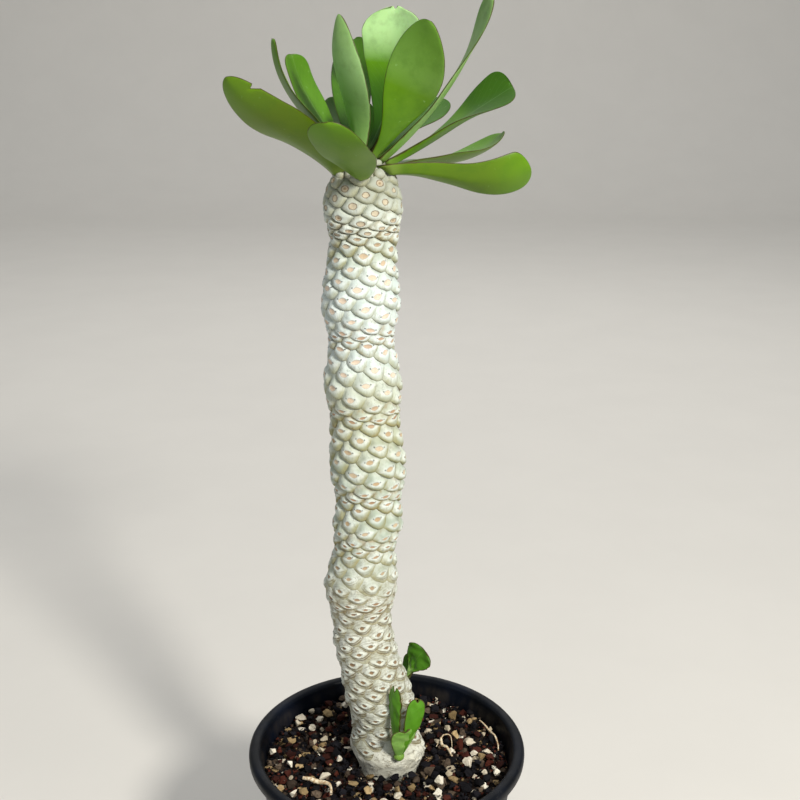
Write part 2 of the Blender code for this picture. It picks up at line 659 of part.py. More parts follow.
def make_growing_tip():
    centre = spine(STEM_STATIONS[-1][0])[0] + Vector((0, 0, DOME_HEIGHT + LEAF_SEAT_GAP))
    core = bmesh.new()
    bmesh.ops.create_cone(core, cap_ends=True, segments=TIP_CORE_SIDES, radius1=TIP_CORE_RADIUS,
                          radius2=TIP_CORE_RADIUS / 3, depth=TIP_CORE_HEIGHT)
    bmesh.ops.translate(core, verts=core.verts[:], vec=centre + Vector((0, 0, TIP_CORE_HEIGHT / 2)))
    tip = object_from("growing_tip", core, "young_leaf")
    blades = []
    for k, length in enumerate(TIP_LENGTHS):
        turn = TIP_FIRST_TURN + k * DIVERGENCE
        leaf = dict(TIP_LEAF, seat=turn, heading=turn, length=length, width=length * TIP_LEAF_SLIMNESS)
        start = centre + front_left(turn) * TIP_REACH + Vector((0, 0, TIP_LEAF_SINK))
        blade = blade_mesh(leaf, start, TIP_LEAF_ROWS, YOUNG_LEAF_COLUMNS)
        blades.append(object_from(f"young_{k}", blade, "young_leaf"))
    combine(tip, blades, "UNION")
    return tip


# Offsets

def make_offset(name, foot, leaves):
    knob = bmesh.new()
    bmesh.ops.create_icosphere(knob, subdivisions=1, radius=OFFSET_KNOB_RADIUS)
    bmesh.ops.translate(knob, verts=knob.verts[:], vec=Vector(foot))
    shoot = object_from(name, knob, "young_leaf")
    blades = []
    for k, leaf in enumerate(leaves):
        full = dict(OFFSET_LEAF, seat=k * DIVERGENCE, **leaf)
        blade = blade_mesh(full, Vector(foot), OFFSET_LEAF_ROWS, YOUNG_LEAF_COLUMNS)
        blades.append(object_from(f"{name}_blade_{k}", blade, "young_leaf"))
    combine(shoot, blades, "UNION")
    return shoot


# Soil

def soil_radii():
    """The radii of the soil's top, its base and its hole for the stem."""
    inner_wall_top = POT_RIM_RADIUS - POT_BEAD_WIDTH - POT_WALL
    inner_wall_base = POT_BASE_RADIUS - POT_WALL
    wall_top = POT_HEIGHT - POT_BEAD_HEIGHT
    slope = (inner_wall_top - inner_wall_base) / (wall_top - POT_FOOT_HEIGHT - POT_FLOOR - POT_WALL)
    flat_side = math.cos(math.pi / POT_SIDES)
    top = (inner_wall_top - slope * (wall_top - SOIL_LEVEL)) * flat_side - 2 * TOUCH_GAP
    base = (inner_wall_base - POT_WALL) * flat_side - 2 * TOUCH_GAP
    hole = (spine(RELIEF_START)[1] + 2 * TOUCH_GAP) / math.cos(math.pi / SOIL_SIDES)
    return top, base, hole


def soil_points():
    """Grain crowns on a jittered triangular lattice, with the low places between them."""
    outer, _, inner = soil_radii()
    draw = random.Random(SOIL_SEED)
    row_step = GRAIN_SPACING * math.sqrt(3) / 2
    rows = int(outer / row_step) + 1
    points = []
    for row in range(-rows, rows + 1):
        for column in range(-rows - 1, rows + 2):
            x = (column + 0.5 * (row % 2)) * GRAIN_SPACING
            y = row * row_step
            shift_x = draw.uniform(-1, 1) * GRAIN_JITTER * GRAIN_SPACING
            shift_y = draw.uniform(-1, 1) * GRAIN_JITTER * GRAIN_SPACING
            points.append((x + shift_x, y + shift_y, draw.uniform(*GRAIN_CROWNS) * GRAIN_RELIEF))
            for side in (1, -1):
                points.append((x, y + side * row_step * 2 / 3, -draw.uniform(*GRAIN_DIPS) * GRAIN_RELIEF))
    clear = GRAIN_SPACING * GRAIN_CLEAR
    return [p for p in points if inner + clear < math.hypot(p[0], p[1]) < outer - clear]


def make_soil():
    top_radius, base_radius, hole_radius = soil_radii()
    base_level = POT_FOOT_HEIGHT + POT_FLOOR + TOUCH_GAP
    hole_centre = Vector((spine(RELIEF_START)[0].x, 0, 0))
    hole_floor = STUMP_BOTTOM - TOUCH_GAP

    flat, heights = [], []
    for k in range(SOIL_SIDES):
        flat.append(front_left(k * FULL_TURN / SOIL_SIDES) * top_radius)
        heights.append(-GRAIN_RELIEF / 3)
    for k in range(SOIL_SIDES):
        flat.append(hole_centre + front_left(k * FULL_TURN / SOIL_SIDES) * hole_radius)
        heights.append(0.0)
    for x, y, height in soil_points():
        flat.append(Vector((x, y, 0)))
        heights.append(height)
    border = [(k, (k + 1) % SOIL_SIDES) for k in range(SOIL_SIDES)]
    border += [(SOIL_SIDES + a, SOIL_SIDES + b) for a, b in border]
    result = delaunay_2d_cdt([p.to_2d() for p in flat], border, [], 0, 1e-7)
    mesh_data = bmesh.new()
    verts = []
    for place, sources in zip(result[0], result[3]):
        verts.append(mesh_data.verts.new((place.x, place.y, SOIL_LEVEL + heights[sources[0]])))
    hole = set(range(SOIL_SIDES, 2 * SOIL_SIDES))
    for triangle in result[2]:
        if not all(result[3][k][0] in hole for k in triangle):
            mesh_data.faces.new([verts[k] for k in triangle])
    outer_top = [v for v, sources in zip(verts, result[3]) if sources[0] < SOIL_SIDES]
    inner_top = [v for v, sources in zip(verts, result[3]) if sources[0] in hole]
    outer_base = []
    for vert in outer_top:
        flat_place = Vector((vert.co.x, vert.co.y, 0)).normalized() * base_radius
        outer_base.append(mesh_data.verts.new(flat_place + Vector((0, 0, base_level))))
    inner_base = [mesh_data.verts.new((v.co.x, v.co.y, hole_floor)) for v in inner_top]
    for top, base in ((outer_top, outer_base), (inner_top, inner_base)):
        for k in range(SOIL_SIDES):
            follow = (k + 1) % SOIL_SIDES
            mesh_data.faces.new((top[k], base[k], base[follow], top[follow]))
        mesh_data.faces.new(base)
    point_outward(mesh_data)
    return object_from("soil", mesh_data, "soil", smooth=False)


# Dry bits

def strand_route(strand):
    """Close points along a strand's smooth route, level on the ground."""
    stations = [(k, x * MM, y * MM) for k, (x, y) in enumerate(strand["points"])]
    steps = STRAND_STEPS * (len(stations) - 1)
    return [smooth_between(stations, k / STRAND_STEPS) for k in range(steps + 1)]


def strand_level(route, radius, ground):
    """The height of a level strand that lies on the highest grain under its route."""
    highest = 0.0
    down = Vector((0, 0, -1))
    for (x, y), (next_x, next_y) in zip(route, route[1:]):
        for k in range(STRAND_PROBES):
            share = k / (STRAND_PROBES - 1)
            for side in (-radius, 0.0, radius):
                along = Vector((next_x - x, next_y - y, 0))
                across = along.normalized().cross(down) * side
                probe = Vector((x, y, POT_HEIGHT)) + along * share + across
                highest = max(highest, ground.ray_cast(probe, down)[0].z)
    return highest + radius + STRAND_LIFT


def make_strand(name, strand, ground):
    radius = strand["thick"] * MM / 2
    route = strand_route(strand)
    level = strand_level(route, radius, ground)
    curve = bpy.data.curves.new(name, "CURVE")
    curve.dimensions = "3D"
    curve.bevel_depth = radius
    curve.bevel_resolution = 1
    curve.use_fill_caps = True
    line = curve.splines.new("POLY")
    line.points.add(len(route) - 1)
    for point, (x, y) in zip(line.points, route):
        point.co = (x, y, level, 1.0)
    made = bpy.data.objects.new(name, curve)
    made.data.materials.append(material("dry"))
    bpy.context.scene.collection.objects.link(made)
    return made


def ground_under(soil):
    mesh_data = bmesh.new()
    mesh_data.from_mesh(soil.data)
    ground = BVHTree.FromBMesh(mesh_data)
    mesh_data.free()
    return ground


def main():
    clear_scene()
    make_pot()
    ground = ground_under(make_soil())
    make_stem()
    make_leaves()
    make_growing_tip()
    make_offset("offset_front", FRONT_OFFSET_FOOT, FRONT_OFFSET_LEAVES)
    make_offset("offset_back", BACK_OFFSET_FOOT, BACK_OFFSET_LEAVES)
    for name, strand in STRANDS.items():
        make_strand(name, strand, ground)


main()
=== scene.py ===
import math
import random

import bmesh
import bpy
import numpy as np
from mathutils import Matrix, Vector, noise


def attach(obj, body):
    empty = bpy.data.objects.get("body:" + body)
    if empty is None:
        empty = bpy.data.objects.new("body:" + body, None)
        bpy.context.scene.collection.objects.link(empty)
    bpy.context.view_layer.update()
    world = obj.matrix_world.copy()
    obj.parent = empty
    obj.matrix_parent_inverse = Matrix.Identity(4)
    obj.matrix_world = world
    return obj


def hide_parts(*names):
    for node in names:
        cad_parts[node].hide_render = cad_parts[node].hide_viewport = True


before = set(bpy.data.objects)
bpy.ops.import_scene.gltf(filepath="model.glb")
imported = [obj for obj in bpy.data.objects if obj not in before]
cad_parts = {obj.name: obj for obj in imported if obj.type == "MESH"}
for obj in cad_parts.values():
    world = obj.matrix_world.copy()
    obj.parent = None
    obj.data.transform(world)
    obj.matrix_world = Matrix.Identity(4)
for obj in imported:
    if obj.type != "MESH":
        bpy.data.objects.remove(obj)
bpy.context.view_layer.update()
mm = 0.001
print("frame loaded:", len(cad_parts), "solids")

# Camera: level with the leaves and looking down at the pot, as in the photo
cameraSetup = dict(place=(0.0072, -0.5694, 0.506), lookDown=17.56, lens=54.0, sensor=36.0)


def makeCamera():
    data = bpy.data.cameras.new("camera")
    data.lens = cameraSetup["lens"]
    data.sensor_width = cameraSetup["sensor"]
    data.clip_start = 0.01
    camera = bpy.data.objects.new("camera", data)
    camera.location = cameraSetup["place"]
    camera.rotation_euler = (math.radians(90 - cameraSetup["lookDown"]), 0, 0)
    bpy.context.scene.collection.objects.link(camera)
    bpy.context.scene.camera = camera


# Small helpers

def ease(value, start, end):
    share = min(max((value - start) / (end - start), 0.0), 1.0)
    return share * share * (3 - 2 * share)


def blend(first, second, share):
    return first + (second - first) * share


def level(turn):  # level direction at a turn in degrees: 0 is the front, 90 the right
    angle = math.radians(turn)
    return Vector((math.sin(angle), -math.cos(angle), 0.0))


def wrap(turn):
    return (turn + 180) % 360 - 180


def smoothBetween(stations, at):  # smooth curve through (place, value, ...) stations
    if at <= stations[0][0]:
        return stations[0][1:]
    if at >= stations[-1][0]:
        return stations[-1][1:]
    after = next(k for k, station in enumerate(stations) if station[0] > at)
    low, high = stations[after - 1], stations[after]
    before = stations[max(after - 2, 0)]
    beyond = stations[min(after + 1, len(stations) - 1)]
    span = high[0] - low[0]
    t = (at - low[0]) / span
    values = []
    for k in range(1, len(low)):
        slopeLow = (high[k] - before[k]) / (high[0] - before[0]) * span
        slopeHigh = (beyond[k] - low[k]) / (beyond[0] - low[0]) * span
        values.append(low[k] * (1 + 2 * t) * (1 - t) ** 2 + slopeLow * t * (1 - t) ** 2
                      + high[k] * t * t * (3 - 2 * t) + slopeHigh * t * t * (t - 1))
    return tuple(values)


def neighbours(ring):  # pairs of neighbours round a closed ring
    return zip(ring, ring[1:] + ring[:1])


def ringQuads(low, high):  # the quads between two closed rings
    return [(a, b, d, c) for (a, b), (c, d) in zip(neighbours(low), neighbours(high))]


def addFace(store, corners):  # a corner is its vertex and its values in the store's two layers
    faces, firstLayer, secondLayer = store[1:]
    faces.append(tuple(corner[0] for corner in corners))
    firstLayer.extend(corner[1] for corner in corners)
    secondLayer.extend(corner[2] for corner in corners)


def makePiece(name, points, faces, finish, corners=None, replaced=(), smooth=True):
    mesh = bpy.data.meshes.new(name)
    mesh.from_pydata(points, [], faces)
    for label, values in (corners or {}).items():  # one vector for each face corner
        layer = mesh.attributes.new(label, "FLOAT_VECTOR", "CORNER")
        layer.data.foreach_set("vector", np.array(values, dtype=np.float32).ravel())
    mesh.polygons.foreach_set("use_smooth", [smooth] * len(mesh.polygons))
    mesh.materials.append(finish)
    mesh.update()
    piece = bpy.data.objects.new(name, mesh)
    bpy.context.scene.collection.objects.link(piece)
    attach(piece, "root")
    if replaced:
        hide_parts(*replaced)
    return piece


# Material helpers

making = {}  # the node tree that these helpers add to


def srgb(red, green, blue):
    return tuple((v / 255 / 12.92) if v / 255 <= 0.04045 else ((v / 255 + 0.055) / 1.055) ** 2.4
                 for v in (red, green, blue))


def startMaterial(name, roughness, specular=0.5):
    made = bpy.data.materials.new(name)
    made.use_nodes = True
    making["tree"] = made.node_tree
    shader = made.node_tree.nodes["Principled BSDF"]
    shader.inputs["Roughness"].default_value = roughness
    shader.inputs["Specular IOR Level"].default_value = specular
    return made, shader


def addNode(kind, **settings):
    made = making["tree"].nodes.new("ShaderNode" + kind)
    for key, value in settings.items():
        setattr(made, key, value)
    return made


def feed(socket, value):
    if isinstance(value, bpy.types.NodeSocket):
        making["tree"].links.new(value, socket)
    elif socket.type == "RGBA":
        socket.default_value = (*value, 1.0)
    else:
        socket.default_value = value


def maths(operation, first, second=0.0, clamp=False):
    made = addNode("Math", operation=operation, use_clamp=clamp)
    feed(made.inputs[0], first)
    feed(made.inputs[1], second)
    return made.outputs[0]


def times(first, second, clamp=False):
    return maths("MULTIPLY", first, second, clamp)


def plus(first, second, clamp=False):
    return maths("ADD", first, second, clamp)


def less(first, second, clamp=False):
    return maths("SUBTRACT", first, second, clamp)


def absolute(value):
    return maths("ABSOLUTE", value)


def stepped(value, low, high, first=0.0, last=1.0):  # smooth change from first to last
    made = addNode("MapRange", interpolation_type="SMOOTHSTEP")
    feed(made.inputs[0], value)
    for k, number in zip((1, 2, 3, 4), (low, high, first, last)):
        made.inputs[k].default_value = number
    return made.outputs[0]


def between(share, first, last):
    return stepped(share, 0.0, 1.0, first, last)


def mixed(share, first, second):
    made = addNode("Mix", data_type="RGBA", blend_type="MIX")
    feed(made.inputs[0], share)
    feed(made.inputs[6], first)
    feed(made.inputs[7], second)
    return made.outputs[2]


def objectPlace():
    return addNode("TexCoord").outputs["Object"]


def objectHeight():
    split = addNode("SeparateXYZ")
    feed(split.inputs[0], objectPlace())
    return split.outputs[2]


def noisy(scale, detail=3.0, rough=0.5, stretch=None):
    place = objectPlace()
    if stretch:
        move = addNode("Mapping")
        feed(move.inputs["Vector"], place)
        move.inputs["Scale"].default_value = stretch
        place = move.outputs[0]
    made = addNode("TexNoise")
    feed(made.inputs["Vector"], place)
    made.inputs["Scale"].default_value = scale
    made.inputs["Detail"].default_value = detail
    made.inputs["Roughness"].default_value = rough
    return made.outputs["Fac"]


def attributeParts(name):
    source = addNode("Attribute", attribute_name=name)
    split = addNode("SeparateXYZ")
    feed(split.inputs[0], source.outputs["Vector"])
    return split.outputs


def bumped(shader, height, strength, distance, under=None):
    made = addNode("Bump")
    made.inputs["Strength"].default_value = strength
    made.inputs["Distance"].default_value = distance
    feed(made.inputs["Height"], height)
    if under:
        feed(made.inputs["Normal"], under)
    feed(shader.inputs["Normal"], made.outputs[0])
    return made.outputs[0]


# Floor, backdrop and light

stageSetup = dict(front=-16.0, back=2.6, half=16.0, bend=0.9, wall=2.4, steps=24,
                  colour=srgb(216, 213, 207), clouding=0.98)
lights = {
    "key": dict(place=(0.64, -1.04, 1.15), size=0.26, power=27.0, colour=(1.0, 0.97, 0.90)),
    "fill": dict(place=(-1.3, -0.9, 0.9), size=1.6, power=2.0, colour=(0.92, 0.96, 1.0)),
    "back": dict(place=(0.2, 1.2, 1.5), size=2.0, power=7.0, colour=(1.0, 0.98, 0.95)),
    "backdrop": dict(place=(0.0, 1.7, 2.2), size=2.4, power=18.0, colour=(1.0, 0.99, 0.97),
                     target=(0, 2.6, 0)),
}
lightTarget = (0, 0, 0.30)
worldLight = dict(colour=(0.94, 0.97, 1.0), strength=0.36)


def makeStage():
    profile = [(stageSetup["front"], 0.0)]
    for k in range(stageSetup["steps"] + 1):
        angle = math.pi / 2 * k / stageSetup["steps"]
        profile.append((stageSetup["back"] + stageSetup["bend"] * math.sin(angle),
                        stageSetup["bend"] * (1 - math.cos(angle))))
    profile.append((stageSetup["back"] + stageSetup["bend"], stageSetup["wall"]))
    points, faces = [], []
    for y, z in profile:
        points += [(-stageSetup["half"], y, z), (stageSetup["half"], y, z)]
    for k in range(len(profile) - 1):
        faces.append((2 * k, 2 * k + 1, 2 * k + 3, 2 * k + 2))
    mesh = bpy.data.meshes.new("floor")
    mesh.from_pydata(points, [], faces)
    mesh.polygons.foreach_set("use_smooth", [True] * len(faces))
    finish, shader = startMaterial("paleFloor", 0.85, 0.2)
    grain = noisy(9.0, 4.0, 0.6)
    tone = mixed(stepped(grain, 0.3, 0.7), stageSetup["colour"],
                 tuple(v * stageSetup["clouding"] for v in stageSetup["colour"]))
    feed(shader.inputs["Base Color"], tone)
    mesh.materials.append(finish)
    floor = bpy.data.objects.new("floor", mesh)
    bpy.context.scene.collection.objects.link(floor)


def makeLights():
    for name, setup in lights.items():
        data = bpy.data.lights.new(name, "AREA")
        data.shape = "DISK"
        data.size = setup["size"]
        data.energy = setup["power"]
        data.color = setup["colour"]
        lamp = bpy.data.objects.new(name, data)
        lamp.location = setup["place"]
        lamp.visible_glossy = name != "backdrop"  # no white glare on the leaves
        aim = Vector(setup.get("target", lightTarget)) - Vector(setup["place"])
        lamp.rotation_euler = aim.to_track_quat("-Z", "Y").to_euler()
        bpy.context.scene.collection.objects.link(lamp)
    world = bpy.data.worlds.new("studio")
    world.use_nodes = True
    backdrop = world.node_tree.nodes["Background"]
    backdrop.inputs["Color"].default_value = (*worldLight["colour"], 1.0)
    backdrop.inputs["Strength"].default_value = worldLight["strength"]
    bpy.context.scene.world = world
    bpy.context.scene.view_settings.view_transform = "Standard"


makeCamera()
makeStage()
makeLights()
print("camera, floor and lights placed")

# Stem: a spiral of leaf-scar scales, each with a rolled lower lip, a raised eye and a scar in it

stem = dict(
    stations=[  # height, lean and radius, m
        (0.0850, 0.0012, 0.0172), (0.1130, 0.0012, 0.0190), (0.1215, 0.0010, 0.0192),
        (0.1300, 0.0002, 0.0190), (0.1430, -0.0023, 0.0166), (0.1600, -0.0040, 0.0188),
        (0.1780, -0.0084, 0.0172), (0.1900, -0.0113, 0.0168), (0.2070, -0.0130, 0.0161),
        (0.2250, -0.0131, 0.0196), (0.2460, -0.0112, 0.0166), (0.2600, -0.0092, 0.0181),
        (0.2735, -0.0089, 0.0170), (0.2880, -0.0090, 0.0196), (0.3050, -0.0097, 0.0186),
        (0.3180, -0.0103, 0.0177), (0.3330, -0.0110, 0.0197), (0.3560, -0.0117, 0.0165),
        (0.3740, -0.0119, 0.0193), (0.3930, -0.0111, 0.0173), (0.4065, -0.0102, 0.0160),
        (0.4200, -0.0102, 0.0186)],
    rise=[  # height gained from one scar to the next, mm
        (0.115, 0.69), (0.130, 0.68), (0.145, 0.69), (0.160, 0.66), (0.175, 0.68), (0.205, 0.68),
        (0.220, 0.64), (0.235, 0.61), (0.250, 0.65), (0.280, 0.67), (0.310, 0.72), (0.340, 0.74),
        (0.355, 0.70), (0.370, 0.68), (0.385, 0.63), (0.400, 0.62), (0.415, 0.56), (0.430, 0.50)],
    divergence=137.5077, firstTurn=37.0, start=80.33 * mm, bottom=92 * mm,
    reliefStart=119 * mm, reliefFull=126 * mm, relief=2.0 * mm,
    domeHeight=26.5 * mm, domeRelief=0.80, domeClimb=60, domeStop=7.0 * mm,
    turnShift=1.7, alongShift=0.34 * mm,  # how far the scars wander from the exact spiral
    pinch=0.46,  # how far the two upper and the two lower corners of a scale close up
    edgeSteps=(5, 2, 4),  # points along the three lower edges of a scale
    edgeBulge=(0.055, 0.05, 0.055), edgeWander=0.45 * mm, meanRadius=0.018,
    young=(0.215, 0.262), youngEdge=(0.218, 0.262), crown=(0.396, 0.408),  # heights where scales change, m
    foot=(0.133, 0.143), footEdge=(0.132, 0.144), soilLine=0.116,
    scars=[  # height, and the half width and height of the scars there, mm
        (0.120, 1.35, 0.75), (0.180, 1.45, 0.85), (0.240, 1.50, 0.88), (0.270, 1.70, 1.02),
        (0.310, 2.10, 1.10), (0.380, 2.15, 1.15), (0.400, 1.90, 1.25), (0.430, 1.80, 1.30)],
    scarUp=-0.25, fullScarRadius=0.015, sunk=0.55, zeroLift=0.45, footLift=0.56,
    closing=(0.8, 0.55, 0.28), closingSunk=0.4 * mm, closingPlace=(3, 3, 0.5), closingShade=(0.7, 0.0, 0.3),
    crowded=(0.4115, 0.3610, 0.3215, 0.2790, 0.2520, 0.2185), crowdedHalf=0.0080, crowdPull=0.0046,
    seed=7,
)
footForm = dict(turn=62, halfTurn=34, height=0.130, halfHeight=0.009, swell=2.2 * mm,  # on the right
                ringHeight=0.1315, ringHalf=0.0075, ringLeft=1.5, ringAll=0.5,  # bulge, mostly on the left
                taper=2.9 * mm, taperZone=(0.1165, 0.1285))
# Place and lift of a scale's rings on its lower and its upper side, from edge to scar
youngRings = [(1.00, 0.00, 1.00, 0.00), (0.975, 0.27, 0.95, 0.04), (0.90, 0.53, 0.87, 0.11),
              (0.77, 0.76, 0.74, 0.26), (0.58, 0.92, 0.54, 0.52), (0.34, 1.04, 0.30, 0.85),
              (0.09, 1.10, 0.09, 1.08), (0.0, 0.99, 0.0, 0.99)]
tipLifts = (0.00, 0.05, 0.14, 0.32, 0.60, 0.88, 1.06, 0.99)  # lifts towards a young scale's two side tips
oldRings = [(1.00, 0.00, 1.00, 0.00), (0.96, 0.52, 0.95, 0.48), (0.86, 0.50, 0.86, 0.52),
            (0.66, 0.44, 0.72, 0.56), (0.55, 0.80, 0.50, 0.68), (0.34, 1.06, 0.29, 0.96),
            (0.11, 1.32, 0.11, 1.26), (0.0, 0.86, 0.0, 0.86)]
crownRings = [(1.00, 0.00, 1.00, 0.00), (0.985, 0.28, 0.96, 0.18), (0.91, 0.56, 0.88, 0.42),
              (0.79, 0.82, 0.76, 0.70), (0.60, 0.99, 0.56, 0.93), (0.33, 1.06, 0.31, 1.04),
              (0.12, 1.11, 0.12, 1.10), (0.0, 0.98, 0.0, 0.98)]
crownStubs = [  # turn and reach over the rounded top, half width and half height, mm, and how brown
    (-26, 13.0, 2.8, 2.5, 0.9), (10, 12.8, 2.5, 2.2, 0.5), (38, 13.2, 2.9, 2.6, 0.4),
    (88, 13.0, 2.6, 2.3, 0.3), (-50, 13.6, 2.6, 2.3, 0.8), (-78, 13.2, 2.7, 2.4, 0.6),
    (-104, 13.4, 2.6, 2.3, 0.5), (108, 13.2, 2.6, 2.4, 0.4), (144, 13.4, 2.6, 2.4, 0.5),
    (168, 13.0, 2.7, 2.4, 0.4), (-148, 13.2, 2.7, 2.4, 0.4), (-126, 13.6, 2.5, 2.2, 0.6),
    (50, 9.4, 2.3, 2.1, 0.3), (8, 9.6, 2.3, 2.0, 0.4), (-36, 9.6, 2.3, 2.1, 0.5), (-98, 9.8, 2.2, 2.0, 0.4),
    (108, 9.6, 2.2, 2.0, 0.3), (180, 9.4, 2.3, 2.0, 0.5), (-140, 9.6, 2.2, 2.0, 0.4)]
stubForm = dict(rows=9, spokes=20, opening=118, sunk=0.6, tall=2.3, rough=0.10)
topHeight, topRadius = stem["stations"][-1][0], stem["stations"][-1][2]
stemTones = dict(
    oldSkin=(184, 187, 172), youngSkin=(165, 177, 162), oldPale=(210, 214, 205), youngPale=(203, 211, 202),
    bloom=(216, 229, 232), crown=(214, 220, 214), cap=(150, 152, 136), speck=(150, 148, 120),
    # the two olive band tones are partly the skin's own olive and partly painted shade under the scales' lips
    band=(146, 143, 98), oldOliveShadeBand=(168, 164, 134), crowdBrown=(150, 124, 82), eye=(222, 226, 222),
    oldEye=(218, 222, 210), scarPale=(205, 188, 161), scarDark=(170, 142, 104), bloomScar=(230, 211, 192),
    oldScar=(136, 112, 84), crowdScar=(158, 120, 88), crownScar=(186, 178, 156), crownCore=(128, 98, 62),
    # the crease tone is partly red-brown skin and partly a painted shadow line under the lips
    scarFleck=(164, 134, 100), rim=(104, 78, 54), dot=(60, 56, 52), brownCreaseShadow=(96, 74, 50), fold=(132, 118, 88),
    hair=(120, 128, 122), arc=(112, 96, 66), foot=(222, 219, 203), sallow=(184, 186, 156))
stemZones = dict(  # heights over which each part of the stem's look comes in or goes, m
    young=(0.205, 0.262), crown=(0.400, 0.412), bloomStart=(0.312, 0.348), bloomEnd=(0.405, 0.385),
    sallowStart=(0.290, 0.312), sallowEnd=(0.354, 0.336), cap=(0.416, 0.432), foot=(0.150, 0.128))
stemAmounts = dict(  # how strongly each tone shows; a pair is for the old and the young skin
    bloom=0.55, sallow=0.40, crown=0.60, cap=0.75, speck=0.50, band=0.84, bandCrowd=0.16, bandBloom=0.34,
    bandCrown=0.36, foot=0.65, fold=(0.62, 0.06), hair=0.5, eye=(0.54, 0.42), bloomScar=0.8, crowdScar=0.70,
    crownScar=0.75, scarFleck=0.36, rim=0.34, rimCrown=0.46, dot=0.80, brownCreaseShadow=(0.30, 0.9))


def spine(height):
    lean, radius = smoothBetween(stem["stations"], height)
    return Vector((lean, 0.0, height)), radius


topMiddle = spine(topHeight)[0]


def domePlace(along):  # radius and height on the rounded top after a climb over it
    climbed, last = 0.0, (topRadius, 0.0)
    for k in range(1, stem["domeClimb"] + 1):
        angle = k * math.pi / 2 / stem["domeClimb"]
        place = (topRadius * math.cos(angle), stem["domeHeight"] * math.sin(angle))
        step = math.dist(place, last)
        if climbed + step >= along:
            part = (along - climbed) / step
            return blend(last[0], place[0], part), blend(last[1], place[1], part)
        climbed += step
        last = place
    return last


def domeRise(reach):
    return stem["domeHeight"] * math.sqrt(max(0.0, 1 - (reach / topRadius) ** 2))


def domeSeat(turn, reach):  # place on the rounded top and the direction away from it
    rise = domeRise(reach)
    outward = level(turn)
    normal = outward * (reach / topRadius ** 2) + Vector((0, 0, rise / stem["domeHeight"] ** 2))
    return topMiddle + outward * reach + Vector((0, 0, rise)), normal.normalized()


def footSwell(turn, height):  # rough swelling on the right, slight bulge on the left, taper into the soil
    sideways = wrap(turn - footForm["turn"]) / footForm["halfTurn"]
    swell = math.exp(-sideways * sideways - ((height - footForm["height"]) / footForm["halfHeight"]) ** 2)
    spot = level(turn) * 9 + Vector((0, 0, height / mm * 0.5))
    lumps = (1.5 * noise.noise(spot) + 0.7 * noise.noise(spot * 2.3)) * mm * ease(swell, 0.1, 0.6)
    lumps += 0.5 * mm * noise.noise(spot * 0.37) * ease(0.15 - height, 0, 0.02)
    leftward = 0.5 - 0.5 * math.sin(math.radians(turn))
    bulge = math.exp(-((height - footForm["ringHeight"]) / footForm["ringHalf"]) ** 2)
    bulge *= (footForm["ringAll"] + footForm["ringLeft"] * leftward) * mm
    taper = footForm["taper"] * (1 - ease(height, *footForm["taperZone"]))
    return footForm["swell"] * swell + lumps - taper + bulge


def stemPoint(turn, along, lift, depth):
    sunk, rise = stem["relief"] * stem["sunk"], lift - stem["zeroLift"]
    if along <= topHeight:
        centre, radius = spine(along)
        shown = ease(along, stem["reliefStart"], stem["reliefFull"])
        return centre + level(turn) * (radius + footSwell(turn, along) + (rise * depth - sunk) * shown)
    radius, height = domePlace(along - topHeight)
    slope = Vector((radius / topRadius ** 2, height / stem["domeHeight"] ** 2)).normalized()
    fade = 1 - (1 - stem["domeRelief"]) * ease(along, topHeight, topHeight + stem["domeHeight"] / 3)
    push = (rise * depth - sunk) * fade
    return topMiddle + level(turn) * (radius + slope.x * push) + Vector((0, 0, height + slope.y * push))


def scarPlaces():
    places, along = [], stem["start"]
    while True:
        places.append(along)
        step = smoothBetween(stem["rise"], along)[0] * mm
        if along > topHeight:
            radius = domePlace(along - topHeight)[0]
            if radius < stem["domeStop"]:
                return places
            step *= topRadius / radius
        along += step


def crowdedPlace(along):  # scars drawn together where the growth stopped for a season
    pull = 0.0
    for centre in stem["crowded"]:
        away = (along - centre) / stem["crowdedHalf"]
        pull -= stem["crowdPull"] * away * math.exp(-away * away / 2)
    return along + pull


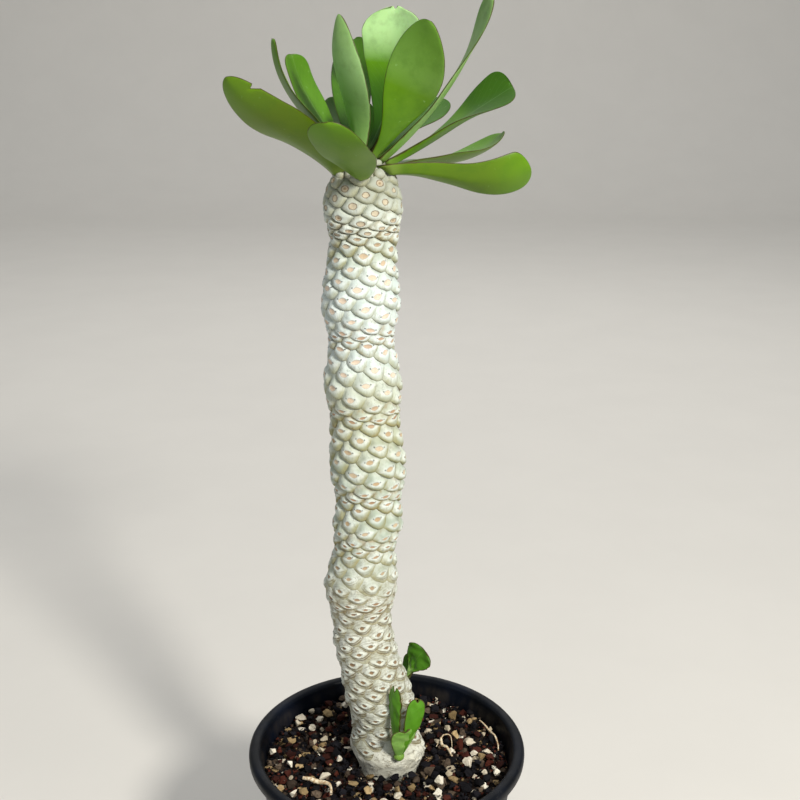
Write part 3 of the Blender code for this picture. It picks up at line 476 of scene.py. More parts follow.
def stemFinish():
    tones = {name: srgb(*tone) for name, tone in stemTones.items()}
    amounts = stemAmounts
    finish, shader = startMaterial("scalySkin", 0.66, 0.30)
    place = attributeParts("scarPlace")  # sideways and up in scar sizes, and a random number
    shade = attributeParts("scaleShade")  # 0 at the scar to 1 at the edge, lower side, crowding
    height = objectHeight()
    fine = noisy(900.0, 4.0, 0.6)
    middling = noisy(330.0, 3.0, 0.55)
    broad = noisy(110.0, 3.0, 0.5)
    streak = noisy(520.0, 3.0, 0.6, stretch=(1.0, 1.0, 0.28))
    fromScar, lower, crowd = shade[0], shade[1], shade[2]

    young = stepped(height, *stemZones["young"])
    crownZone = stepped(height, *stemZones["crown"])
    bloom = times(stepped(height, *stemZones["bloomStart"]), stepped(height, *stemZones["bloomEnd"]))
    skin = mixed(young, tones["oldSkin"], tones["youngSkin"])
    pale = mixed(young, tones["oldPale"], tones["youngPale"])
    skin = mixed(stepped(broad, 0.36, 0.64), skin, pale)
    skin = mixed(times(bloom, amounts["bloom"]), skin, tones["bloom"])
    sallow = times(stepped(height, *stemZones["sallowStart"]), stepped(height, *stemZones["sallowEnd"]))
    skin = mixed(times(sallow, amounts["sallow"]), skin, tones["sallow"])
    skin = mixed(times(crownZone, amounts["crown"]), skin, tones["crown"])
    skin = mixed(stepped(height, *stemZones["cap"], 0.0, amounts["cap"]), skin, tones["cap"])
    skin = mixed(stepped(streak, 0.52, 0.74, 0.0, amounts["speck"]), skin, tones["speck"])
    # olive band under the scar, partly the skin's own olive and partly painted shade under the lip, stronger
    # where the scales crowd and fainter under the bloom
    wobble = times(less(middling, 0.5), 0.55)
    band = stepped(plus(fromScar, wobble), 0.22, 0.90)
    band = times(band, stepped(lower, 0.10, 0.85, 0.18, 1.0))
    strength = plus(amounts["band"], times(crowd, amounts["bandCrowd"]))
    strength = less(strength, times(bloom, amounts["bandBloom"]))
    strength = less(strength, times(crownZone, amounts["bandCrown"]))
    bare = stepped(place[2], 1.2, 1.8, 1.0, 0.0)  # 0 on the parts of the foot that have lost their scars
    band = times(band, times(strength, between(bare, 0.3, 1.0)), True)
    skin = mixed(band, skin, mixed(young, tones["oldOliveShadeBand"], tones["band"]))
    brown = times(crowd, stepped(middling, 0.42, 0.66, 0.08, 0.60))
    brown = times(brown, stepped(fromScar, 0.35, 0.85, 0.15, 1.0))
    skin = mixed(brown, skin, tones["crowdBrown"])
    footPale = times(less(1.0, bare), stepped(height, *stemZones["foot"]))
    skin = mixed(times(footPale, amounts["foot"]), skin, tones["foot"])
    # thin level wrinkles of the old skin, and fine upright cracks above it
    folds = noisy(150.0, 3.0, 0.55, stretch=(1.0, 1.0, 4.0))
    folds = stepped(absolute(less(folds, 0.5)), 0.0, 0.045, 1.0, 0.0)
    folds = times(folds, stepped(middling, 0.40, 0.60))
    skin = mixed(times(folds, between(young, *amounts["fold"])), skin, tones["fold"])
    hair = absolute(less(noisy(420.0, 2.0, 0.5, stretch=(1.0, 1.0, 0.30)), 0.5))
    hair = times(stepped(hair, 0.0, 0.022, 1.0, 0.0), stepped(broad, 0.42, 0.60))
    skin = mixed(times(hair, amounts["hair"]), skin, tones["hair"])
    # white eye round the scar
    across2 = times(place[0], place[0])
    up2 = times(place[1], place[1])
    fromMiddle = maths("SQRT", plus(across2, up2))
    high = absolute(place[1])
    pointed = plus(times(high, 0.92), across2)  # 1 on a lens with side points
    rounder = less(1.0, times(less(1.0, crownZone), 0.65))
    ring = plus(times(fromMiddle, rounder), times(pointed, less(1.0, rounder)))
    ring = plus(ring, times(less(fine, 0.5), 0.60))
    lens = times(across2, between(young, 0.095, 0.15))
    lens = plus(times(high, 0.54), lens)
    lens = plus(lens, times(less(middling, 0.5), 0.7))
    eye = times(stepped(lens, 0.50, 1.40, 1.0, 0.0), less(1.0, crownZone))
    eye = times(eye, times(bare, between(young, *amounts["eye"])))
    skin = mixed(eye, skin, mixed(young, tones["oldEye"], tones["eye"]))
    # thin dark lines under and over the eyes of the old skin
    aged = times(less(1.0, young), bare)
    below = stepped(place[1], -0.4, 0.4, 1.0, 0.40)
    eyeLine = stepped(absolute(less(lens, 1.36)), 0.08, 0.34, 1.0, 0.0)
    farLine = stepped(absolute(less(lens, 2.15)), 0.08, 0.38, 0.9, 0.0)
    eyeLine = maths("MAXIMUM", eyeLine, farLine)
    eyeLine = times(times(eyeLine, below), aged)
    eyeLine = times(eyeLine, stepped(middling, 0.35, 0.6, 0.45, 0.85))
    skin = mixed(eyeLine, skin, tones["arc"])
    # scar: tan with a darker rim
    scarTone = mixed(times(place[2], 0.8, True), tones["scarPale"], tones["scarDark"])
    scarTone = mixed(times(bloom, amounts["bloomScar"]), scarTone, tones["bloomScar"])
    scarTone = mixed(young, tones["oldScar"], scarTone)
    scarTone = mixed(times(crowd, amounts["crowdScar"]), scarTone, tones["crowdScar"])
    scarTone = mixed(times(crownZone, amounts["crownScar"]), scarTone, tones["crownScar"])
    scarTone = mixed(stepped(fine, 0.46, 0.70, 0.0, amounts["scarFleck"]), scarTone, tones["scarFleck"])
    skin = mixed(times(stepped(ring, 0.74, 1.14, 1.0, 0.0), bare), skin, scarTone)
    core = times(stepped(ring, 0.15, 0.62, 0.75, 0.0), stepped(place[2], 0.35, 0.70))
    core = times(core, times(crownZone, bare))  # brown middle of some scars of the crown
    skin = mixed(core, skin, tones["crownCore"])
    rim = times(stepped(ring, 0.76, 0.98), stepped(ring, 1.0, 1.20, 1.0, 0.0))
    rimShare = plus(amounts["rim"], times(crownZone, amounts["rimCrown"]))
    rim = times(times(rim, rimShare), bare)
    skin = mixed(rim, skin, tones["rim"])
    # two dark dots at the upper corners of the scar, missing on the crown
    side = times(less(absolute(place[0]), 1.16), 1.6)
    rise = less(place[1], 0.55)
    away = maths("SQRT", plus(times(side, side), times(rise, rise)))
    dot = stepped(plus(away, times(fine, 0.16)), 0.25, 0.50, amounts["dot"], 0.0)
    dot = times(times(dot, less(1.0, crownZone)), bare)
    skin = mixed(dot, skin, tones["dot"])
    # thin red-brown crease, partly the skin's own colour and partly a painted shadow line under the lip,
    # strongest at the bottom and the left
    leftward = stepped(place[0], 2.6, -1.0, 0.35, 1.0)
    brownCreaseShadow = times(stepped(fromScar, 0.955, 0.995), stepped(lower, 0.40, 0.95))
    brownCreaseShadow = times(times(brownCreaseShadow, leftward), between(young, *amounts["brownCreaseShadow"]))
    brownCreaseShadow = times(brownCreaseShadow, bare)
    skin = mixed(times(brownCreaseShadow, stepped(middling, 0.25, 0.55, 0.35, 0.95)), skin, tones["brownCreaseShadow"])
    feed(shader.inputs["Base Color"], skin)
    feed(shader.inputs["Roughness"], stepped(fine, 0.3, 0.7, 0.60, 0.80))
    wrinkle = plus(times(streak, 0.7), times(fine, 0.3))
    folds = plus(folds, eyeLine, True)
    folds = times(folds, between(young, -0.75, -0.10))
    coarse = bumped(shader, plus(middling, folds), 0.60, 0.5 * mm)
    bumped(shader, wrinkle, 0.55, 0.25 * mm, coarse)
    return finish


def rotated(flat, angle):
    flat = flat.copy()
    flat.rotate(Matrix.Rotation(angle, 2))
    return flat


def scaleCorners(turns, places):
    # a scale touches those 5, 8 and 13 steps away, and has a corner between each two of them
    def meanOf(indices):
        origin = indices[0]
        turn = sum(wrap(turns[k] - turns[origin]) for k in indices) / 3
        return turns[origin] + turn, sum(places[k] for k in indices) / 3

    corners = {}
    for k in range(len(places) - 13):
        above = meanOf((k, k + 8, k + 13))
        beside = meanOf((k, k + 13, k + 5))
        apart = (wrap(beside[0] - above[0]) * stem["pinch"] / 2, (beside[1] - above[1]) * stem["pinch"] / 2)
        corners["above", k] = (above[0] + apart[0], above[1] + apart[1])
        corners["beside", k] = (beside[0] - apart[0], beside[1] - apart[1])
    return corners


def closeEnds(store):  # rings that shrink to a point over the skin's two open ends
    points, faces = store[:2]
    used = dict.fromkeys(pair for face in faces for pair in neighbours(face))
    border = {second: first for first, second in used if (second, first) not in used}
    values = (stem["closingPlace"], stem["closingShade"])
    while border:
        start, at = border.popitem()
        ring = [(start, *values)]
        while at != start:
            ring.append((at, *values))
            at = border.pop(at)
        if points[start].z > topHeight / 2:
            for share in stem["closing"]:
                inner = []
                for corner in ring:
                    flat = points[corner[0]] - topMiddle
                    flat.z = 0
                    flat *= share
                    rise = domeRise(flat.length) - stem["closingSunk"]
                    points.append(topMiddle + flat + Vector((0, 0, rise)))
                    inner.append((len(points) - 1, *values))
                for quad in ringQuads(ring, inner):
                    addFace(store, quad)
                ring = inner
            tip = topMiddle + Vector((0, 0, stem["domeHeight"] - stem["closingSunk"]))
        else:
            tip = sum((points[corner[0]] for corner in ring), Vector()) / len(ring)
        points.append(tip)
        for first, second in neighbours(ring):
            addFace(store, (first, second, (len(points) - 1, *values)))


def addStubs(store):  # stubs of fallen leaves, crowded round the leaf bases
    points = store[0]
    rows, spokes = stubForm["rows"], stubForm["spokes"]
    for turn, reach, wide, tall, brown in crownStubs:
        seat, normal = domeSeat(turn, reach * mm)
        middle = seat - normal * stubForm["sunk"] * mm
        side = level(turn + 90)
        rings = []
        for row in range(rows + 1):
            angle = row / rows * math.radians(stubForm["opening"])
            ring = []
            for spoke in range(spokes):
                around = spoke * 2 * math.pi / spokes
                flat = Vector((math.cos(around), math.sin(around))) * math.sin(angle)
                where = Vector((flat.x * 2, flat.y * 2, turn + reach * mm))
                rough = 1 + stubForm["rough"] * noise.noise(where)
                spread = side * flat.x * wide + normal.cross(side) * flat.y * tall
                points.append(middle + (spread + normal * math.cos(angle) * stubForm["tall"]) * mm * rough)
                # painted shade: the value rises to 1 at the stub's foot, so the olive band and the crease
                # darken the gaps between the stubs
                shade = (blend(0.1, 1.0, row / rows), 0.6, 0.5 * brown)
                ring.append((len(points) - 1, (3, 3, brown), shade))
            rings.append(ring)
        for low, high in zip(rings, rings[1:]):
            for a, b, d, c in ringQuads(low, high):
                addFace(store, (a, c, d, b))
        addFace(store, rings[0])


def makeStem():
    places = [crowdedPlace(along) for along in scarPlaces()]
    draw = random.Random(stem["seed"])
    turns = [stem["firstTurn"] + k * stem["divergence"] + draw.gauss(0, stem["turnShift"])
             for k in range(len(places))]
    places = [along + draw.gauss(0, stem["alongShift"]) for along in places]
    corners = scaleCorners(turns, places)
    store = points, faces, scarPlace, scaleShade = [], [], [], []
    edges, cornerVertex = {}, {}

    def edge(kind, k):  # one lower edge of scale k: turn, place along the stem and vertex of its points
        if (kind, k) in edges:
            return edges[kind, k]
        ends = [("above", k - 8), ("beside", k - 13), ("above", k - 13), ("beside", k - 5)][kind:kind + 2]
        start, end = corners[ends[0]], corners[ends[1]]
        startTurn, endTurn = wrap(start[0] - turns[k]), wrap(end[0] - turns[k])
        radius = stem["meanRadius"]
        run = Vector((math.radians(endTurn - startTurn) * radius, end[1] - start[1]))
        outward = Vector((run.y, -run.x)).normalized()  # away from the scale's middle
        groove = 0.16 * noise.noise(Vector((k * 0.9, kind * 2.3, 1.0)))
        steps = stem["edgeSteps"][kind]
        line = []
        for step in range(steps + 1):
            part = step / steps
            push = stem["edgeBulge"][kind] * run.length * 4 * part * (1 - part)
            wander = noise.noise(Vector((k * 1.7, kind * 3.1, part * 2)))
            push += stem["edgeWander"] * math.sin(math.pi * part) * wander
            turn = turns[k] + blend(startTurn, endTurn, part) + math.degrees(outward.x * push / radius)
            along = blend(start[1], end[1], part) + outward.y * push
            shared = ends[step > 0] if step in (0, steps) else None
            if shared not in cornerVertex:
                lift = blend(groove, 0.36 + 0.5 * groove, 1 - ease(along, *stem["youngEdge"]))
                lift = blend(lift, stem["footLift"], 1 - ease(along, *stem["footEdge"]))
                points.append(stemPoint(turn, along, lift, stem["relief"]))
                vertex = len(points) - 1
                if shared:
                    cornerVertex[shared] = vertex
            else:
                vertex = cornerVertex[shared]
            line.append((turn, along, vertex))
        edges[kind, k] = line
        return line

    def loopOf(k):
        upper = [edge(kind, k + steps)[::-1] for kind, steps in enumerate((8, 13, 5))]
        lower = [edge(kind, k) for kind in range(3)]
        return [at for line in lower + upper for at in line[:-1]]

    last = len(youngRings) - 1
    for k in range(13, len(places) - 13):
        turn, along = turns[k], places[k]
        radius = spine(along)[1] if along <= topHeight else domePlace(along - topHeight)[0]
        old = 1 - ease(along, *stem["young"])
        crown = ease(along, *stem["crown"])
        footed = 1 - ease(along, *stem["foot"])  # the foot is smooth, with few scars
        crowd = max(math.exp(-2 * ((along - c) / stem["crowdedHalf"]) ** 2) for c in stem["crowded"])
        chance = [draw.random() for _ in range(9)]
        plain = footed > 0.3 and chance[0] < 0.75
        small = min(1.0, radius / stem["fullScarRadius"])
        wide, tall = smoothBetween(stem["scars"], along)
        wide *= (0.82 + 0.36 * chance[0]) * small * (1 + 0.12 * old)
        tall *= (0.80 + 0.40 * chance[1]) * small * (1 - 0.40 * crowd)
        relief = stem["relief"] * (0.80 + 0.40 * chance[2]) * (1 - 0.38 * old) * (1 + 0.35 * crown)
        relief *= 1 - 0.30 * crowd * (1 - crown)
        middle = Vector(((chance[3] - 0.5) * 1.3, stem["scarUp"] + (chance[5] - 0.5) * 0.9))
        mark = chance[4] + 2 * plain  # over 1 where the scar is lost
        tilt = (chance[6] - 0.42) * 0.5 * (1 - crown)
        lean = Vector((chance[7] - 0.5, chance[8] - 0.5)) * 0.24
        loop = loopOf(k)
        outline = [Vector((math.radians(wrap(t - turn)) * radius / mm, (a - along) / mm)) for t, a, _ in loop]
        buried = max(a for _, a, _ in loop) < stem["soilLine"]
        rings = []
        for number, forms in enumerate(zip(youngRings, oldRings, crownRings)):
            row = []
            for spot, (_, _, vertex) in zip(outline, loop):
                reach = spot - middle
                turned = rotated(reach, -tilt)
                angle = math.atan2(turned.y / tall, turned.x / wide)
                scarEdge = rotated(Vector((math.cos(angle) * wide, math.sin(angle) * tall)), tilt) + middle
                down = ease(-reach.y / reach.length, -0.45, 0.45)
                outLow, liftLow, outHigh, liftHigh = (blend(blend(p, q, old), r, crown)
                                                      for p, q, r in zip(*forms))
                out = blend(outHigh, outLow, down)
                tipward = ease(abs(reach.x) / math.hypot(reach.x, 1.5 * reach.y), 0.82, 0.995)
                tipward *= (1 - old) * (1 - crown)
                lift = blend(blend(liftHigh, liftLow, down), tipLifts[number], tipward)
                place = scarEdge + (spot - scarEdge) * out
                if number:
                    where = Vector((place.x + k * 7.3, place.y, k * 1.9))
                    rough = noise.noise(where * 0.45) * 0.16 + noise.noise(where * 1.3) * (0.06 + 0.07 * old)
                    rough += lean.dot(reach) / 6
                    lift += rough * min(1.0, number / 3) * (1 if number < last - 1 else 0.4)
                    lift = blend(lift, stem["footLift"] + 1.2 * rough, footed if plain else 0.6 * footed)
                    aside = turn + math.degrees(place.x * mm / radius)
                    points.append(stemPoint(aside, along + place.y * mm, lift, relief))
                    vertex = len(points) - 1
                inScar = rotated(place - middle, -tilt)
                shade = (out if number < last else 0.0, down, crowd)
                row.append((vertex, (inScar.x / wide, inScar.y / tall, mark), shade))
            rings.append(row)
            if buried and number == 3:  # nothing shows under the soil
                break
        lift = stem["footLift"] if plain else 0.6 if buried else 0.93
        aside = turn + math.degrees(middle.x * mm / radius)
        points.append(stemPoint(aside, along + middle.y * mm, lift, relief))
        heart = (len(points) - 1, (0.0, 0.0, mark), (0.0, 0.5, crowd))
        for outer, inner in zip(rings, rings[1:]):
            for quad in ringQuads(outer, inner):
                addFace(store, quad)
        for first, second in neighbours(rings[-1]):
            addFace(store, (first, second, heart))
    closeEnds(store)
    addStubs(store)
    return makePiece("stemScales", points, faces, stemFinish(),
                     dict(scarPlace=scarPlace, scaleShade=scaleShade), ["stem"])


stemPiece = makeStem()
print("stem made:", len(stemPiece.data.polygons), "faces")

# Leaves: the same blades as the solids, finer, with rounded edges

# thicknesses, gap and ribs in mm; places as shares of the blade
leafForm = dict(thickFoot=3.0, thickMiddle=2.0, thickTip=1.1, thickEdge=0.75, middle=0.5, seatGap=0.45,
                cupPower=1.6, waves=1.5, waveOnset=(0.2, 0.5), notchWidth=0.58, tipStart=0.8,
                rows=60, columns=20, tipFill=0.9992, crowding=1.5, edgeFrom=0.86, endFrom=0.955,
                ribWide=0.13, ribUnder=0.35, ribOver=0.22)
plainLeaf = dict(stout=1.0, teeth=0, serrate=0.0, notch=0.0, notchSide=0.0, ruffle=0.0, crinkle=0.0,
                 nick=(0.0, 1.0, 0.0, 1))  # place along, width, depth in mm, and side
# seat and reach on the rounded top; heading, rise, arch, swing and roll in degrees; sizes in mm
leaves = {
    "leaf_01": dict(seat=-2, reach=14.2, heading=-7, rise=(25, 48), arch=-14, swing=-14, roll=(-4, 0),
                    foot=3.8, length=63, width=26.0, spread=0.8, broad=0.64, square=2.2, cup=0.15, wave=0.5),
    "leaf_02": dict(seat=126, reach=13.6, heading=137, rise=(11, 44), arch=-29, swing=-10, roll=(-6, -15),
                    foot=4.0, length=82, width=26.5, spread=1.7, broad=0.73, square=2.5, cup=0.23, wave=0.8),
    "leaf_03": dict(seat=-60, reach=13.4, heading=-31, rise=(39, 57), arch=-20, swing=-23, roll=(-5, 29),
                    foot=5.0, length=79, width=30.5, spread=0.7, broad=0.56, square=1.8, cup=0.19, wave=0.8,
                    nick=(0.885, 0.022, 3.8, 1)),
    "leaf_04": dict(seat=66, reach=13.2, heading=95, rise=(6, 32), arch=-29, swing=12, roll=(-38, -65),
                    foot=4.6, length=70, width=22.5, spread=2.1, broad=0.88, square=2.4, cup=0.24, wave=0.8),
    "leaf_05": dict(seat=-175, reach=12.2, heading=-162, rise=(20, 50), arch=-12, swing=-8, roll=(0, 14),
                    foot=3.9, length=62, width=21, spread=1.2, broad=0.70, square=2.4, cup=0.18, wave=0.5),
    "leaf_06": dict(seat=106, reach=11.4, heading=103, rise=(25, 34), arch=2, swing=-21, roll=(-36, 39),
                    foot=2.6, length=69, width=28.0, spread=2.5, broad=0.83, square=3.1, cup=0.27, wave=0.5),
    "leaf_07": dict(seat=-126, reach=10.8, heading=-128, rise=(56, 80), arch=-15, swing=12, roll=(13, 3),
                    foot=3.4, length=58, width=25.5, spread=1.0, broad=0.86, square=2.7, cup=0.16, wave=0.6),
    "leaf_08": dict(seat=152, reach=9.8, heading=146, rise=(38, 26), arch=-12, swing=-4, roll=(0, 20),
                    foot=3.6, length=62, width=24, spread=1.2, broad=0.70, square=2.4, cup=0.18, wave=0.5),
    "leaf_09": dict(seat=-71, reach=9.0, heading=-59, rise=(54, 93), arch=-23, swing=-15, roll=(-12, -10),
                    foot=3.5, length=66, width=27.5, spread=0.8, broad=0.65, square=2.5, cup=0.14, wave=0.6),
    "leaf_10": dict(seat=68, reach=8.8, heading=71, rise=(39, 73), arch=-3, swing=-9, roll=(-12, 41),
                    foot=2.8, length=91, width=20.0, spread=1.2, broad=0.79, square=2.2, cup=0.05, wave=0.8),
    "leaf_11": dict(seat=-162, reach=8.4, heading=-171, rise=(46, 46), arch=-9, swing=-12, roll=(0, -20),
                    foot=3.4, length=82, width=21, spread=1.2, broad=0.70, square=2.4, cup=0.18, wave=0.6),
    "leaf_12": dict(seat=-12, reach=7.4, heading=-23, rise=(87, 108), arch=-32, swing=-26, roll=(-23, -21),
                    foot=3.6, length=67, width=28.0, spread=1.6, broad=0.61, square=1.8, cup=0.31, wave=0.5),
    "leaf_13": dict(seat=36, reach=6.8, heading=49, rise=(41, 66), arch=6, swing=-17, roll=(0, -85),
                    foot=3.0, length=73, width=26.5, spread=2.2, broad=0.72, square=1.9, cup=0.05, wave=0.5),
    "leaf_14": dict(seat=162, reach=5.6, heading=136, rise=(43, 95), arch=6, swing=6, roll=(-12, 14),
                    foot=2.8, length=72.5, width=32.5, spread=2.2, broad=0.80, square=2.2, cup=0.33, wave=0.9,
                    ruffle=1.3),
}


def halfWidth(share, leaf):
    foot, full = leaf["foot"] * mm, leaf["width"] * mm / 2
    if share < leaf["broad"]:
        return foot + (full - foot) * math.sin(math.pi / 2 * share / leaf["broad"]) ** leaf["spread"]
    past = min((share - leaf["broad"]) / (1 - leaf["broad"]), 1.0)
    return full * (1 - past ** leaf["square"]) ** (1 / leaf["square"])


def leafSpine(leaf, start, steps):
    length = leaf["length"] * mm
    frames, place, last = [], start.copy(), None
    for k in range(steps + 1):
        share = k / steps
        rise = math.radians(blend(*leaf["rise"], share) + leaf["arch"] * math.sin(math.pi * share))
        heading = leaf["heading"] + leaf["swing"] * share
        direction = level(heading) * math.cos(rise) + Vector((0, 0, math.sin(rise)))
        sideways = level(heading + 90)
        upward = direction.cross(sideways)
        roll = math.radians(blend(*leaf["roll"], share))
        if last is not None:
            place = place + (direction + last) / 2 * length / steps
        frames.append((place.copy(), direction, sideways * math.cos(roll) + upward * math.sin(roll),
                       upward * math.cos(roll) - sideways * math.sin(roll)))
        last = direction
    return frames


def betweenFrames(frames, share):
    place = share * (len(frames) - 1)
    low = min(int(place), len(frames) - 2)
    mixes = [a.lerp(b, place - low) for a, b in zip(frames[low], frames[low + 1])]
    return mixes[0], mixes[1].normalized(), mixes[2].normalized(), mixes[3].normalized()


def bladeThickness(share, across):
    if share < leafForm["middle"]:
        thick = blend(leafForm["thickFoot"], leafForm["thickMiddle"], share / leafForm["middle"])
    else:
        past = (share - leafForm["middle"]) / (1 - leafForm["middle"])
        thick = blend(leafForm["thickMiddle"], leafForm["thickTip"], past)
    return (leafForm["thickEdge"] + (thick - leafForm["thickEdge"]) * (1 - across * across)) * mm


def ontoDome(point, direction):
    gap = leafForm["seatGap"] * mm
    squash = Vector((1 / (topRadius + gap), 1 / (topRadius + gap), 1 / (stem["domeHeight"] + gap)))
    start = point - topMiddle
    p = Vector(a * b for a, b in zip(start, squash))
    d = Vector(a * b for a, b in zip(direction, squash))
    inside = p.dot(d) ** 2 - d.dot(d) * (p.dot(p) - 1)
    if inside <= 0:
        return point
    return point + direction * ((-p.dot(d) + math.sqrt(inside)) / d.dot(d))


def rounded(value, start):  # 1, falling as a quarter circle from the start to 1
    return math.sqrt(max(0.0, 1 - max(0.0, (value - start) / (1 - start)) ** 2))


def addBlade(leaf, start, store, tone, rows, columns, onDome=False):
    # rounded fleshy blade: an upper and a lower skin that meet along the margin
    leaf = plainLeaf | leaf
    frames = leafSpine(leaf, start, 2 * rows)
    marginSeed = leaf["seat"] * 0.37 + leaf["length"]
    nickAt, nickWide, nickDeep, nickSide = leaf["nick"]
    grids = []
    for skin in (1, -1):
        grid = []
        for row in range(rows + 1):
            share = leafForm["tipFill"] * (1 - (1 - row / rows) ** leafForm["crowding"])
            half = halfWidth(share, leaf)
            half *= 1 + 0.018 * noise.noise(Vector((share * 9, marginSeed, 0))) * ease(share, 0.1, 0.4)
            tooth = (share * leaf["teeth"]) % 1.0
            saw = leaf["serrate"] * mm * (tooth ** 0.7 if tooth < 0.8 else (1 - tooth) * 4)
            saw *= ease(share, 0.25, 0.45) * (0.6 + 0.8 * noise.noise(Vector((share * 7, marginSeed, 2))))
            # tone along the blade: above 0 deeper green, partly painted shade; below 0 paler green, partly a
            # painted highlight
            depth = blend(tone[1], tone[2], ease(share, *(tone[3:] or (0.0, 0.7))))
            line = []
            for column in range(columns + 1):
                across = -math.cos(math.pi * column / columns)
                across = math.copysign(abs(across) ** 0.85, across)
                if skin < 0 and (column in (0, columns) or row == rows):
                    line.append(grids[0][row][column])
                    continue
                fromNotch = (across - leaf["notchSide"]) / leafForm["notchWidth"]
                notch = leaf["notch"] / leaf["length"] * max(0.0, 1 - fromNotch ** 2)
                ruffle = leaf["ruffle"] / leaf["length"] * (0.5 + 0.5 * math.sin(across * 5.6 + 0.6))
                reach = share - ease(share, leafForm["tipStart"], 1.0) * (notch + ruffle)
                place, direction, sideways, upward = betweenFrames(frames, min(reach, 1.0))
                cup = leaf["cup"] * half * abs(across) ** leafForm["cupPower"]
                swell = math.sin(2 * math.pi * leafForm["waves"] * share + leaf["seat"])
                wave = leaf["wave"] * mm * across * abs(across) * swell * ease(share, *leafForm["waveOnset"])
                crinkle = noise.noise(Vector((across * 2.2, share * 7, marginSeed)))
                wave += leaf["crinkle"] * mm * ease(share, 0.2, 0.5) * crinkle
                thick = bladeThickness(share, across) * leaf["stout"]
                thick *= rounded(abs(across), leafForm["edgeFrom"]) * rounded(share, leafForm["endFrom"])
                rib = mm * math.exp(-(across / leafForm["ribWide"]) ** 2) * (1 - ease(share, 0.1, 0.95))
                rib *= leafForm["ribUnder"] if skin < 0 else leafForm["ribOver"] * leaf["stout"]
                lift = thick / 2 * skin - rib
                cut = max(0.0, 1 - abs(share - nickAt) / nickWide) * ease(across * nickSide, 0.4, 1.0)
                out = (half + saw * ease(abs(across), 0.6, 1.0)) * across - nickSide * cut * nickDeep * mm
                spot = place + sideways * out + upward * (cup + wave + lift)
                if onDome and row == 0:
                    spot = ontoDome(spot, frames[0][1])
                store[0].append(spot)
                edgeGap = min(half * (1 - abs(across)), (1 - share) * leaf["length"] * mm * 1.2) / mm
                line.append((len(store[0]) - 1, (across, share, float(skin)), (edgeGap, tone[0], depth)))
            grid.append(line)
        grids.append(grid)

    def face(corners):
        single = [c for n, c in enumerate(corners) if c[0] not in [d[0] for d in corners[:n]]]
        if len(single) > 2:
            addFace(store, single)

    for grid, turned, skin in ((grids[0], 1, 1.0), (grids[1], -1, -1.0)):
        for low, high in zip(grid, grid[1:]):
            for column in range(columns):
                corners = [low[column], low[column + 1], high[column + 1], high[column]]
                face([(c[0], (c[1][0], c[1][1], skin), c[2]) for c in corners][::turned])
    over, under = grids[0][0], grids[1][0]
    for column in range(columns):  # the foot's cap
        face([over[column], under[column], under[column + 1], over[column + 1]])


def bladePiece(name, store, finish, node):
    points, faces, bladePlace, bladeEdge = store
    makePiece(name, points, faces, finish, dict(bladePlace=bladePlace, bladeEdge=bladeEdge), [node])


def leafFinish(name, green, deep, olive, paleSunlit, margin, gloss, marginWide=1.0):
    finish, shader = startMaterial(name, gloss, 0.24)
    amounts = leafAmounts
    place = attributeParts("bladePlace")  # across, along, and which skin
    edge = attributeParts("bladeEdge")  # mm from the margin, the olive share, and a tone: above 0 deeper green, partly painted shade; below 0 paler green, partly a painted highlight
    broad = noisy(30.0, 2.0, 0.5)
    fine = noisy(700.0, 3.0, 0.6)
    sideways = absolute(place[0])
    under = stepped(place[2], -0.5, 0.5, 1.0, 0.0)
    upper = less(1.0, under)
    tone = mixed(stepped(broad, 0.25, 0.75, 0.0, amounts["broad"]), green, deep)
    tone = mixed(times(edge[1], under), tone, olive)
    # painted shade in deep green where the tone is above 0, partly the leaf's own deeper green; below 0 a
    # painted highlight in the pale sunlit green, partly the leaf's own paler green
    deepAndShadeShare = times(maths("MAXIMUM", edge[2], 0.0), between(under, 1.0, 0.4))
    tone = mixed(deepAndShadeShare, tone, deep)
    tone = mixed(maths("MAXIMUM", times(edge[2], -1.0), 0.0), tone, paleSunlit)
    mottle = noisy(130.0, 4.0, 0.65)
    tone = mixed(stepped(mottle, 0.44, 0.70, 0.0, amounts["mottle"]), tone, deep)
    fleck = stepped(noisy(420.0, 2.0, 0.5), 0.68, 0.78, 0.0, amounts["fleck"])
    tone = mixed(fleck, tone, paleSunlit)
    # pale midrib and very faint side veins on the upper skin
    ribWidth = stepped(place[1], 0.0, 0.9, 0.11, 0.02)
    rib = less(1.0, maths("DIVIDE", sideways, ribWidth), True)
    tone = mixed(times(times(rib, upper), amounts["rib"]), tone, paleSunlit)
    veinPlace = less(times(place[1], 46.0), times(sideways, 13.0))
    vein = absolute(maths("SINE", veinPlace))
    vein = stepped(plus(vein, times(fine, 0.1)), 0.02, 0.22, 1.0, 0.0)
    tone = mixed(times(times(vein, upper), amounts["vein"]), tone, paleSunlit)
    # the foot is paler and the tip of the underside fresher
    tone = mixed(stepped(place[1], 0.0, 0.12, amounts["foot"], 0.0), tone, amounts["footTone"])
    tone = mixed(times(stepped(place[1], 0.62, 1.0, 0.0, amounts["freshTip"]), under), tone, green)
    # thin dark margin
    wander = times(noisy(260.0, 2.0), 0.5)
    line = stepped(plus(edge[0], wander), 0.32 * marginWide, 0.62 * marginWide,
                   amounts["margin"], 0.0)
    tone = mixed(line, tone, margin)
    feed(shader.inputs["Base Color"], tone)
    feed(shader.inputs["Roughness"], stepped(broad, 0.25, 0.75, gloss - 0.04, gloss + 0.08))
    shader.inputs["Subsurface Weight"].default_value = amounts["glow"]
    shader.inputs["Subsurface Radius"].default_value = amounts["glowColour"]
    shader.inputs["Subsurface Scale"].default_value = amounts["glowDepth"]
    soft = bumped(shader, broad, 0.25, 0.6 * mm)
    bumped(shader, fine, 0.10, 0.1 * mm, soft)
    return finish


